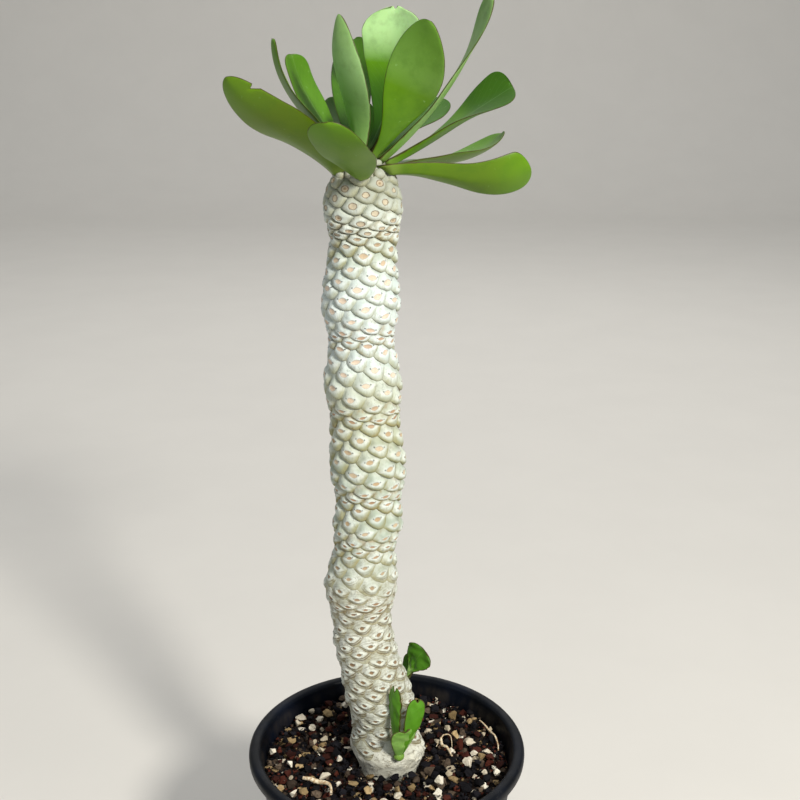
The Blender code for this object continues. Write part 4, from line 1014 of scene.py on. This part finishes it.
leafColours = dict(green=srgb(94, 143, 18), deep=srgb(48, 90, 12), olive=srgb(92, 102, 2),
                   paleSunlit=srgb(188, 226, 160), margin=srgb(62, 44, 22), gloss=0.42)
leafAmounts = dict(  # how strongly each mark shows, and the light that goes through the flesh
    broad=0.30, mottle=0.22, fleck=0.15, rib=0.14, vein=0.05, foot=0.40, freshTip=0.45, margin=0.88,
    footTone=srgb(140, 160, 80), glow=0.15, glowColour=(0.5, 1.0, 0.15), glowDepth=0.0012)
leafTones = {  # olive share of the underside; then at the foot and the tip, above 0 deeper green, partly the leaf's own and partly painted shade, below 0 paler green, partly a painted highlight; and where along the leaf it changes
    "leaf_01": (0.40, 0.70, 0.35), "leaf_02": (0.5, 0.5, 0.2), "leaf_03": (0.62, 0.6, 0.20),
    "leaf_04": (0.50, 0.55, 0.45), "leaf_05": (0.5, 0.9, 0.7), "leaf_06": (0.1, 0.10, 0.85, 0.55, 0.72),
    "leaf_07": (0.3, 0.6, 0.30), "leaf_08": (0.4, 0.9, 0.9), "leaf_09": (0.2, 0.3, 0.1),
    "leaf_10": (0.0, -0.1, -0.35), "leaf_11": (0.3, 0.9, 0.7), "leaf_12": (0.0, -0.30, -0.72, 0.1, 0.75),
    "leaf_13": (0.15, 0.5, -0.12, 0.15, 0.7), "leaf_14": (0.0, 1.0, -1.0, 0.38, 0.90),
}
grownLeaf = leafFinish("grownLeaf", **leafColours)
for name, leaf in leaves.items():
    start, normal = domeSeat(leaf["seat"], leaf["reach"] * mm)
    store = ([], [], [], [])
    addBlade(leaf, start + normal * leafForm["seatGap"] * mm, store, leafTones[name],
             leafForm["rows"], leafForm["columns"], True)
    bladePiece(name.replace("_", "Blade"), store, grownLeaf, name)
print("leaves made:", len(leaves))

# Growing tip and offsets: small blades grown from one knob

tipForm = dict(reach=1.3 * mm, lengths=(26, 22, 17, 13), firstTurn=-100, sink=1.2 * mm, slimness=0.36,
               knob=(2.4, 2.4, 3.8), knobUp=3.4 * mm, rows=26, columns=12,
               leaf=dict(rise=(72, 92), arch=-4, swing=8, roll=(0, 6), spread=1.2, broad=0.68, square=2.2,
                         cup=0.22, wave=0.0, foot=1.5, stout=0.62))
offsetForm = dict(spread=1.3, broad=0.74, square=2.5, cup=0.16, wave=0.4, stout=0.8)
offsetKnob, offsetRows, offsetColumns = (2.9, 2.9, 2.9), 64, 16
# each leaf's tones as for the grown leaves: above 0 deeper green, partly painted shade; below 0 paler green,
# partly a painted highlight
offsets = {
    "offset_front": dict(foot=(6.6, -20.1, 134.5), leaves=[
        dict(heading=-50, rise=(78, 94), arch=0, swing=0, roll=(0, -12), length=43, width=10.0, foot=1.6,
             square=5.0, serrate=2.2, teeth=7, crinkle=0.8, ruffle=3.0),
        dict(heading=64, rise=(60, 88), arch=0, swing=-6, roll=(0, -58), length=39, width=10.5, foot=1.6,
             notch=1.9, notchSide=0.25, crinkle=0.6),
        dict(heading=25, rise=(60, 70), arch=6, swing=12, roll=(0, -10), length=21, width=14.5, foot=2.4,
             broad=0.80, square=3.0, notch=1.2, notchSide=-0.1, crinkle=0.7)],
        tones=[(0.0, -0.08, 0.0), (0.0, -0.05, 0.10), (0.0, -0.45, -0.60)]),
    "offset_back": dict(foot=(9.0, 17.0, 156.0), leaves=[
        dict(heading=78, rise=(62, 50), arch=8, swing=0, roll=(20, 70), length=25, width=17.0, foot=1.4,
             spread=4.2, broad=0.84, serrate=1.1, teeth=5, crinkle=1.5),
        dict(heading=150, rise=(40, 70), arch=0, swing=-8, roll=(0, 10), length=17, width=9.0, foot=1.8)],
        tones=[(0.0, -1.0, 0.60, 0.35, 0.60), (0.0, 0.4, 0.7)]),
}
youngColours = dict(green=srgb(92, 150, 34), deep=srgb(44, 86, 14), olive=srgb(120, 140, 60),
                    paleSunlit=srgb(156, 196, 110), margin=srgb(66, 44, 22), gloss=0.38, marginWide=1.45)
youngLeaf = leafFinish("youngLeaf", **youngColours)


def addKnob(store, centre, sizes):
    points = store[0]
    ball = bmesh.new()
    bmesh.ops.create_icosphere(ball, subdivisions=3, radius=1.0)
    first = len(points)
    for vert in ball.verts:
        shape = 1 + 0.08 * noise.noise(vert.co * 2.3 + centre * 500)
        points.append(centre + Vector(a * b * mm for a, b in zip(vert.co, sizes)) * shape)
    for face in ball.faces:
        addFace(store, [(first + v.index, (0.0, 0.02, 1.0), (5.0, 0.0, 0.0)) for v in face.verts])
    ball.free()


tipStore = ([], [], [], [])
tipCentre = topMiddle + Vector((0, 0, stem["domeHeight"] + leafForm["seatGap"] * mm))
addKnob(tipStore, tipCentre + Vector((0, 0, tipForm["knobUp"])), tipForm["knob"])
for k, length in enumerate(tipForm["lengths"]):
    turn = tipForm["firstTurn"] + k * stem["divergence"]
    leaf = dict(tipForm["leaf"], seat=turn, heading=turn, length=length, width=length * tipForm["slimness"])
    addBlade(leaf, tipCentre + level(turn) * tipForm["reach"] + Vector((0, 0, tipForm["sink"])), tipStore,
             (0.0, 0.0, 0.0), tipForm["rows"], tipForm["columns"])
bladePiece("growingTip", tipStore, youngLeaf, "growing_tip")
for name, shoot in offsets.items():
    store = ([], [], [], [])
    foot = Vector(shoot["foot"]) * mm
    addKnob(store, foot, offsetKnob)
    for k, (leaf, tone) in enumerate(zip(shoot["leaves"], shoot["tones"])):
        full = dict(offsetForm, seat=k * stem["divergence"], **leaf)
        addBlade(full, foot, store, tone, offsetRows, offsetColumns)
    bladePiece(name.replace("_", "Shoot"), store, youngLeaf, name)
print("growing tip and offsets made")

# Pot: a fine turned body with the same drain holes and notches

# all in mm; the lists are steps outward and upward from the rim, the wall's top and the foot's edge
potForm = dict(height=130, rim=75, beadWide=5.5, beadTall=6.5, base=52.5, wall=2.0, floor=2.5, footTall=3.5,
               footWide=7, boss=9, sides=160, beadSteps=17, holes=8, holeRadius=4.5, holeRing=29,
               notches=4, notchWide=12, notchTall=1.8, squareness=0.8, holeSides=32, holeDeep=8, holeMiddle=5,
               sharpFrom=38, innerSteps=9, outerSteps=13, bossEdge=0.3,
               filletShare=0.3, beadUnder=[(-0.15, 1.2), (-0.6, 0.35), (-1.3, 0.0)],
               wallUnder=[(0.7, -0.1), (0.15, -0.5), (0.0, -1.2)],
               heel=[(0.0, 2.0), (-0.3, 0.6), (-1.0, 0.0)])
potTones = dict(deep=srgb(4, 7, 13), light=srgb(8, 15, 28), dust=srgb(120, 118, 114), soil=srgb(70, 62, 52),
                dustShare=0.10, soilShare=0.5)


def potProfile():
    p = potForm
    wallTop = p["height"] - p["beadTall"]
    wallRadius = p["rim"] - p["beadWide"]
    beadMiddle = p["rim"] - p["beadWide"] / 2 - p["wall"] / 4
    beadHalf = p["rim"] - beadMiddle
    floorTop = p["footTall"] + p["floor"]
    inner = p["base"] - p["wall"]
    profile = [(0.0, floorTop), (p["holeRing"], floorTop), (inner - p["wall"], floorTop),
               (inner - p["wall"] * p["filletShare"], floorTop + p["wall"] * p["filletShare"]),
               (inner, floorTop + p["wall"])]
    for k in range(1, p["innerSteps"]):
        share = k / p["innerSteps"]
        profile.append((blend(inner, wallRadius - p["wall"], share),
                        blend(floorTop + p["wall"], wallTop, share)))
    profile.append((wallRadius - p["wall"], wallTop))
    half = p["beadTall"] / 2
    for k in range(p["beadSteps"]):
        angle = math.pi * (1 - k / (p["beadSteps"] - 1))
        across = math.copysign(abs(math.cos(angle)) ** p["squareness"], math.cos(angle))
        rise = half * abs(math.sin(angle)) ** p["squareness"]
        profile.append((beadMiddle + beadHalf * across, p["height"] - half + rise))
    profile += [(p["rim"] + out, wallTop + up) for out, up in p["beadUnder"]]
    profile += [(wallRadius + out, wallTop + up) for out, up in p["wallUnder"]]
    under, heelTop = profile[-1][1], p["heel"][0][1]
    for k in range(1, p["outerSteps"]):
        share = k / p["outerSteps"]
        profile.append((blend(wallRadius, p["base"], share), blend(under, heelTop, share)))
    profile += [(p["base"] + out, up) for out, up in p["heel"]]
    profile += [(p["base"] - p["footWide"], 0.0), (p["base"] - p["footWide"], p["footTall"]),
                (p["holeRing"], p["footTall"]), (p["boss"], p["footTall"]), (p["boss"], p["bossEdge"]),
                (p["boss"] - p["bossEdge"], 0.0), (0.0, 0.0)]
    return profile


def turnedMesh(profile, sides):
    made = bmesh.new()
    rings = []
    for radius, height in profile:
        if radius == 0.0:
            rings.append([made.verts.new((0.0, 0.0, height * mm))])
        else:
            rings.append([made.verts.new(level(k * 360 / sides) * radius * mm + Vector((0, 0, height * mm)))
                          for k in range(sides)])
    for low, high in zip(rings, rings[1:]):
        for k in range(sides):
            follow = (k + 1) % sides
            corners = [low[k % len(low)], low[follow % len(low)],
                       high[follow % len(high)], high[k % len(high)]]
            made.faces.new(list(dict.fromkeys(corners)))
    bmesh.ops.recalc_face_normals(made, faces=made.faces[:])
    return made


def potFinish():
    finish, shader = startMaterial("blackPlastic", 0.42, 0.18)
    height = objectHeight()
    broad = noisy(38.0, 4.0, 0.6)
    fine = noisy(1400.0, 3.0, 0.6)
    smear = noisy(60.0, 4.0, 0.65, stretch=(1.0, 1.0, 0.25))
    tone = mixed(stepped(broad, 0.35, 0.7), potTones["deep"], potTones["light"])
    dust = times(stepped(smear, 0.52, 0.78), stepped(fine, 0.4, 0.62))
    tone = mixed(times(dust, potTones["dustShare"]), tone, potTones["dust"])
    high = times(stepped(height, 0.114, 0.1225), 0.5)
    soilMark = times(stepped(height, 0.1275, 0.1235), stepped(smear, 0.4, 0.6))
    soilMark = times(times(soilMark, high), potTones["soilShare"])
    tone = mixed(soilMark, tone, potTones["soil"])
    feed(shader.inputs["Base Color"], tone)
    feed(shader.inputs["Roughness"], stepped(smear, 0.3, 0.75, 0.34, 0.58))
    ringLines = maths("SINE", times(height, 5200.0))
    relief = plus(times(fine, 0.6), times(ringLines, 0.06))
    bumped(shader, relief, 0.22, 0.12 * mm)
    return finish


def cutWith(target, cutters):
    group = bpy.data.collections.new("potCutters")
    bpy.context.scene.collection.children.link(group)
    for cut in cutters:
        group.objects.link(cut)
    step = target.modifiers.new("cut", "BOOLEAN")
    step.operation, step.solver = "DIFFERENCE", "EXACT"
    step.operand_type, step.collection = "COLLECTION", group
    bpy.context.view_layer.update()
    shaped = bpy.data.meshes.new_from_object(target.evaluated_get(bpy.context.evaluated_depsgraph_get()))
    target.modifiers.clear()
    target.data = shaped
    for cut in cutters:
        bpy.data.objects.remove(cut, do_unlink=True)
    bpy.data.collections.remove(group)


def makePot():
    body = turnedMesh(potProfile(), potForm["sides"])
    mesh = bpy.data.meshes.new("potBody")
    body.to_mesh(mesh)
    body.free()
    mesh.materials.append(potFinish())
    pot = bpy.data.objects.new("potBody", mesh)
    bpy.context.scene.collection.objects.link(pot)
    cutters = []
    for k in range(potForm["holes"]):
        made = bmesh.new()
        middle = level(k * 360 / potForm["holes"]) * potForm["holeRing"] * mm
        middle += Vector((0, 0, potForm["holeMiddle"] * mm))
        radius = potForm["holeRadius"] * mm
        bmesh.ops.create_cone(made, cap_ends=True, segments=potForm["holeSides"],
                              depth=potForm["holeDeep"] * mm, radius1=radius, radius2=radius)
        bmesh.ops.translate(made, verts=made.verts[:], vec=middle)
        cutters.append(made)
    for k in range(potForm["notches"]):
        turn = (k + 0.5) * 360 / potForm["notches"]
        made = bmesh.new()
        bmesh.ops.create_cube(made, size=1.0)
        size = Vector((potForm["notchWide"], 3 * potForm["footWide"], 2 * potForm["notchTall"]))
        bmesh.ops.scale(made, verts=made.verts[:], vec=size * mm)
        spin = Matrix.Rotation(math.radians(turn), 4, "Z")
        spin.translation = level(turn) * (potForm["base"] - potForm["footWide"] / 2) * mm
        bmesh.ops.transform(made, matrix=spin, verts=made.verts[:])
        cutters.append(made)
    blocks = []
    for k, made in enumerate(cutters):
        cutMesh = bpy.data.meshes.new(f"potCut{k}")
        made.to_mesh(cutMesh)
        made.free()
        blocks.append(bpy.data.objects.new(f"potCut{k}", cutMesh))
    cutWith(pot, blocks)
    pot.data.shade_smooth()
    pot.data.set_sharp_from_angle(angle=math.radians(potForm["sharpFrom"]))
    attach(pot, "root")
    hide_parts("pot")
    return pot


potPiece = makePot()
print("pot made:", len(potPiece.data.polygons), "faces")

# Soil: a rough bed under loose angular grit

soil = dict(  # lengths in mm
    bed=117.0, bedRelief=0.9, cell=0.5, reach=72, wallGap=0.5, intoStem=0.4, seed=23, stemHeight=0.121,
    layers=[  # how many grains, from and to what size, how many more small ones, tries at a low place, shapes
        (720, 3.7, 6.6, 1.0, 14, "large"), (130, 5.4, 7.8, 1.4, 8, "large"),
        (1500, 1.0, 2.6, 1.4, 8, "small")],
    shapes=dict(large=dict(count=30, corners=12, apart=0.38), small=dict(count=12, corners=8, apart=0.6)),
    flat=(0.62, 0.95), stretch=(0.82, 1.18), fineTo=2.6, fullTurn=6.283,
    sit=dict(near=0.75, level=0.62, up=0.55),  # how a grain rests on what lies under its middle
    fineShares=[0.66, 0.22, 0.08, 0.03, 0.01])  # the finest are nearly all dark, partly the soil's own colour and partly painted shade in the gaps between the larger grains
grainForm = dict(wide=(0.75, 1.2), deep=(0.75, 1.0), tall=(0.65, 0.95), round=0.10, dent=0.28, dentFrom=0.45,
                 rough=0.30, fine=0.16)
# the bed's tones are very dark, partly the soil's own colour and partly painted shade in the gaps between the
# grains
bedForm = dict(rings=36, sides=96, stemGap=1.5, wallGap=0.35, relief=1.6, footGap=0.6, footUp=0.3, hole=91.7,
               dark=srgb(16, 12, 10), light=srgb(52, 38, 28))
gritKinds = {  # share of the grains, and two colours that each grain varies between
    "gritBlack": dict(share=0.43, dark=srgb(6, 5, 7), light=srgb(30, 29, 34)),
    "gritRed": dict(share=0.20, dark=srgb(32, 13, 10), light=srgb(84, 40, 29)),
    "gritGrey": dict(share=0.14, dark=srgb(50, 41, 34), light=srgb(112, 96, 80)),
    "gritTan": dict(share=0.10, dark=srgb(106, 88, 58), light=srgb(188, 162, 120)),
    "gritPale": dict(share=0.13, dark=srgb(176, 162, 136), light=srgb(238, 232, 216)),
}
namedStones = [  # kind, x, y, size and squash of the stones that stand out, mm
    ("gritPale", 45.0, 8.3, 8.8, 0.8), ("gritPale", 44.0, -11.5, 8.2, 0.8),
    ("gritTan", -17.5, -30.5, 7.0, 0.7), ("gritPale", 6.0, -40.0, 6.0, 0.8),
    ("gritPale", -48.0, -36.0, 5.5, 0.8), ("gritGrey", 32.0, -11.5, 8.6, 0.9),
    ("gritTan", -43.0, -33.0, 6.0, 0.7), ("gritPale", -26.0, -6.0, 5.5, 0.8),
    ("gritTan", 52.0, -2.0, 6.5, 0.8), ("gritTan", 38.0, 14.0, 6.5, 0.8),
    ("gritGrey", 23.0, -19.0, 7.6, 0.8), ("gritPale", 28.0, -28.0, 6.8, 0.8),
]


def wallRadiusAt(height):  # inner face of the pot, mm
    p = potForm
    low, high = p["footTall"] + p["floor"] + p["wall"], p["height"] - p["beadTall"]
    share = (height - low) / (high - low)
    return blend(p["base"] - p["wall"], p["rim"] - p["beadWide"] - p["wall"], share)


def grainShapes(draw, count, corners, apart):
    shapes = []
    for _ in range(count):
        made = bmesh.new()
        box = Vector([draw.uniform(*grainForm[side]) for side in ("wide", "deep", "tall")])
        while len(made.verts) < corners:
            spot = Vector([draw.gauss(0, 1) for _ in range(3)]).normalized()
            if all((spot - v.co).length > apart for v in made.verts):
                made.verts.new(spot)
        bmesh.ops.convex_hull(made, input=made.verts[:])
        bmesh.ops.subdivide_edges(made, edges=made.edges[:], cuts=1, use_grid_fill=True)
        bmesh.ops.triangulate(made, faces=made.faces[:])
        offset = Vector([draw.uniform(0, 50) for _ in range(3)])
        dent = Vector([draw.gauss(0, 1) for _ in range(3)]).normalized()
        for vert in made.verts:
            size = 1.0 - grainForm["round"] * vert.co.length
            size -= grainForm["dent"] * max(0.0, vert.co.dot(dent) - grainForm["dentFrom"])
            size += noise.noise(vert.co * 1.5 + offset) * grainForm["rough"]
            size += noise.noise(vert.co * 4.1 + offset) * grainForm["fine"]
            vert.co = Vector(a * b for a, b in zip(vert.co * size, box))
        made.verts.ensure_lookup_table()
        shapes.append((np.array([v.co for v in made.verts]),
                       [tuple(v.index for v in f.verts) for f in made.faces]))
        made.free()
    return shapes


def gritFinish(name, kind):
    finish, shader = startMaterial(name, 0.80, 0.12)
    tone = attributeParts("grainTone")
    fine = noisy(1500.0, 4.0, 0.65)
    coarse = noisy(500.0, 3.0, 0.6)
    colour = mixed(tone[0], kind["dark"], kind["light"])
    colour = mixed(stepped(coarse, 0.42, 0.70, 0.0, 0.55), colour, kind["dark"])
    colour = mixed(stepped(fine, 0.55, 0.75, 0.0, 0.35), colour, kind["light"])
    feed(shader.inputs["Base Color"], colour)
    bumped(shader, fine, 0.7, 0.25 * mm)
    return finish


def makeBed(stemX, stemRadius):
    # a disc with a low relief, the sides down to the pot's floor, and a hole for the stem
    sides, count = bedForm["sides"], bedForm["rings"]
    directions = [level(side * 360 / sides) for side in range(sides)]
    points, rings = [], []
    for ring in range(count + 1):
        out = blend(stemRadius - bedForm["stemGap"], wallRadiusAt(soil["bed"]) - bedForm["wallGap"],
                    ring / count)
        for direction in directions:
            spot = direction * out + Vector((stemX * (1 - ring / count), 0, 0))
            z = soil["bed"] + bedForm["relief"] * noise.noise(Vector((spot.x * 0.35, spot.y * 0.35, 1.0)))
            points.append(Vector((spot.x, spot.y, z)) * mm)
        rings.append(list(range(ring * sides, (ring + 1) * sides)))
    foot = potForm["base"] - potForm["wall"] * 2 - bedForm["footGap"]
    low = potForm["footTall"] + potForm["floor"] + bedForm["footUp"]
    rings.append(list(range(len(points), len(points) + sides)))
    points += [(direction * foot + Vector((0, 0, low))) * mm for direction in directions]
    hole = list(range(len(points), len(points) + sides))
    points += [Vector((point.x, point.y, bedForm["hole"] * mm)) for point in points[:sides]]
    faces = [quad for inner, outer in zip(rings, rings[1:]) for quad in ringQuads(inner, outer)]
    faces += [tuple(rings[-1][::-1]), *ringQuads(hole, rings[0]), tuple(hole)]
    # very dark: partly the soil's own colour, partly painted shade between the grains
    finish, shader = startMaterial("soilBed", 0.9, 0.2)
    fine = noisy(900.0, 4.0, 0.65)
    tone = mixed(stepped(fine, 0.35, 0.7), bedForm["dark"], bedForm["light"])
    feed(shader.inputs["Base Color"], tone)
    bumped(shader, fine, 0.8, 0.5 * mm)
    bed = makePiece("soilBed", points, faces, finish, replaced=["soil"])
    tidy = bmesh.new()
    tidy.from_mesh(bed.data)
    bmesh.ops.recalc_face_normals(tidy, faces=tidy.faces[:])
    tidy.to_mesh(bed.data)
    tidy.free()


def makeSoil():
    draw = random.Random(soil["seed"])
    reach = soil["reach"]
    axis = np.linspace(-reach, reach, int(2 * reach / soil["cell"]) + 1)
    gridX, gridY = np.meshgrid(axis, axis, indexing="ij")
    heights = np.full_like(gridX, soil["bed"])
    for i in range(0, len(axis), 2):
        for j in range(0, len(axis), 2):
            bump = noise.noise(Vector((axis[i] * 0.11, axis[j] * 0.11, 3.0)))
            heights[i:i + 2, j:j + 2] += soil["bedRelief"] * bump
    centre, radius = spine(soil["stemHeight"])
    stemX, stemRadius = centre.x / mm, radius / mm
    outer = wallRadiusAt(soil["bed"] + 3) - soil["wallGap"]
    shapes = {name: grainShapes(draw, **form) for name, form in soil["shapes"].items()}
    stores = {name: ([], [], []) for name in gritKinds}
    shares = [kind["share"] for kind in gritKinds.values()]
    sit = soil["sit"]

    def footprint(x, y, radius):
        i0, i1 = int((x - radius + reach) / soil["cell"]), int((x + radius + reach) / soil["cell"]) + 1
        j0, j1 = int((y - radius + reach) / soil["cell"]), int((y + radius + reach) / soil["cell"]) + 1
        return slice(max(i0, 0), i1), slice(max(j0, 0), j1)

    def free(x, y, radius):
        if math.hypot(x, y) + radius > outer:
            return False
        return math.hypot(x - stemX, y) - radius > stemRadius - soil["intoStem"]

    def place(name, x, y, size, flat, forms):
        radius = size / 2
        area = footprint(x, y, radius)
        away = np.hypot(gridX[area] - x, gridY[area] - y) / radius
        under = heights[area][away < sit["near"]]
        tall = radius * flat
        z = float(np.quantile(under, sit["level"])) + tall * sit["up"] if under.size else soil["bed"]
        top = z + tall * np.sqrt(np.clip(1 - away ** 2, 0, 1))
        heights[area] = np.where(away < 1, np.maximum(heights[area], top), heights[area])
        spots, tris = forms[draw.randrange(len(forms))]
        angle = draw.uniform(0, soil["fullTurn"])
        spin = Matrix.Rotation(angle, 3, Vector([draw.gauss(0, 1) for _ in range(3)]).normalized())
        stretch = draw.uniform(*soil["stretch"])
        turned = spots @ np.array(spin).T * (radius * stretch, radius / stretch, tall)
        points, faces, tones = stores[name]
        first = len(points)
        tone = (draw.random(), draw.random(), size / 8)
        for spot in turned:
            points.append(((x + spot[0]) * mm, (y + spot[1]) * mm, (z + spot[2]) * mm))
        for tri in tris:
            faces.append(tuple(first + v for v in tri))
            tones.extend([tone] * 3)

    for count, least, most, skew, tries, form in soil["layers"]:
        for _ in range(count):
            size = least + (most - least) * draw.random() ** skew
            best = None
            for _ in range(tries):
                angle, out = draw.uniform(0, soil["fullTurn"]), outer * math.sqrt(draw.random())
                x, y = out * math.cos(angle), out * math.sin(angle)
                if free(x, y, size / 2):
                    high = float(heights[footprint(x, y, size / 2)].mean())
                    if best is None or high < best[0]:
                        best = (high, x, y)
            if best:
                odds = shares if size > soil["fineTo"] else soil["fineShares"]
                kind = draw.choices(list(gritKinds), odds)[0]
                place(kind, best[1], best[2], size, draw.uniform(*soil["flat"]), shapes[form])
    for kind, x, y, size, flat in namedStones:
        place(kind, x, y, size, flat, shapes["large"])

    makeBed(stemX, stemRadius)
    for name, (spots, tris, tones) in stores.items():
        finish = gritFinish(name, gritKinds[name])
        makePiece(name, spots, tris, finish, dict(grainTone=tones), smooth=False)
        print(name, len(tris), "faces")
    return heights, axis


soilHeights, soilAxis = makeSoil()
print("soil made")

# Dry roots and straw on the grit

strands = {
    "dry_root_left": dict(thick=2.5,
                          points=[(-44, -25), (-39, -26.5), (-34, -27.5), (-29.5, -31), (-28.5, -37)]),
    "dry_root_right": dict(thick=1.7, points=[(30, 11), (30.6, 6), (33.6, 2), (35.5, -4)],
                           side=[(27.4, 8), (31.3, 13), (35.4, 11.5), (36, 5)]),
    "dry_straw": dict(thick=1.1, points=[(53, 32), (57, 24), (60, 16), (61.5, 9), (61.5, 4)]),
}
strandForm = dict(steps=10, sides=10, hair=0.7, smoothing=5, sag=1.0, rough=0.22,  # sizes in mm
                  pale=srgb(232, 220, 192), brown=srgb(172, 138, 96))


def gritHeight(x, y, radius):
    i = int(round((x - soilAxis[0]) / soil["cell"]))
    j = int(round((y - soilAxis[0]) / soil["cell"]))
    near = max(1, int(radius / soil["cell"]))
    return float(soilHeights[i - near:i + near + 1, j - near:j + near + 1].max())


def tube(route, radii):
    points, rings, sides = [], [], strandForm["sides"]
    for k, (spot, radius) in enumerate(zip(route, radii)):
        ahead = route[min(k + 1, len(route) - 1)] - route[max(k - 1, 0)]
        side = ahead.cross(Vector((0, 0, 1))).normalized()
        up = side.cross(ahead).normalized()
        for n in range(sides):
            angle = 2 * math.pi * n / sides
            rough = 1 + strandForm["rough"] * noise.noise(Vector((k * 0.6, n * 0.9, radius * 4000)))
            points.append(spot + (side * math.cos(angle) + up * math.sin(angle)) * radius * rough)
        rings.append(list(range(k * sides, (k + 1) * sides)))
    faces = [quad for low, high in zip(rings, rings[1:]) for quad in ringQuads(low, high)]
    return points, faces + [tuple(rings[0]), tuple(rings[-1][::-1])]


def dryFinish():
    finish, shader = startMaterial("dryFibre", 0.82, 0.25)
    grain = noisy(700.0, 4.0, 0.6)
    tone = mixed(stepped(grain, 0.35, 0.68), strandForm["pale"], strandForm["brown"])
    feed(shader.inputs["Base Color"], tone)
    bumped(shader, grain, 0.6, 0.25 * mm)
    return finish


dry = dryFinish()


def strandTube(spots, thick):
    stations = [(k, x, y) for k, (x, y) in enumerate(spots)]
    steps, wide = strandForm["steps"] * (len(stations) - 1), strandForm["smoothing"]
    flat = [smoothBetween(stations, k / strandForm["steps"]) for k in range(steps + 1)]
    rises = [gritHeight(x, y, thick / 2) for x, y in flat]
    route = []
    for k, (x, y) in enumerate(flat):
        near = rises[max(k - wide, 0):k + wide + 1]
        z = max(sum(near) / len(near), rises[k] - strandForm["sag"])
        route.append(Vector((x, y, z + thick / 2)) * mm)
    radii = [thick / 2 * mm * (0.45 + 0.55 * math.sin(math.pi * min(0.92, 0.12 + k / steps)))
             for k in range(steps + 1)]
    return tube(route, radii)


for name, strand in strands.items():
    points, faces = strandTube(strand["points"], strand["thick"])
    if "side" in strand:  # a hair root that loops beside it
        spots, loops = strandTube(strand["side"], strandForm["hair"])
        faces += [tuple(v + len(points) for v in face) for face in loops]
        points += spots
    parts = name.split("_")
    makePiece(parts[0] + "".join(p.title() for p in parts[1:]), points, faces, dry, replaced=[name])
print("dry bits laid")
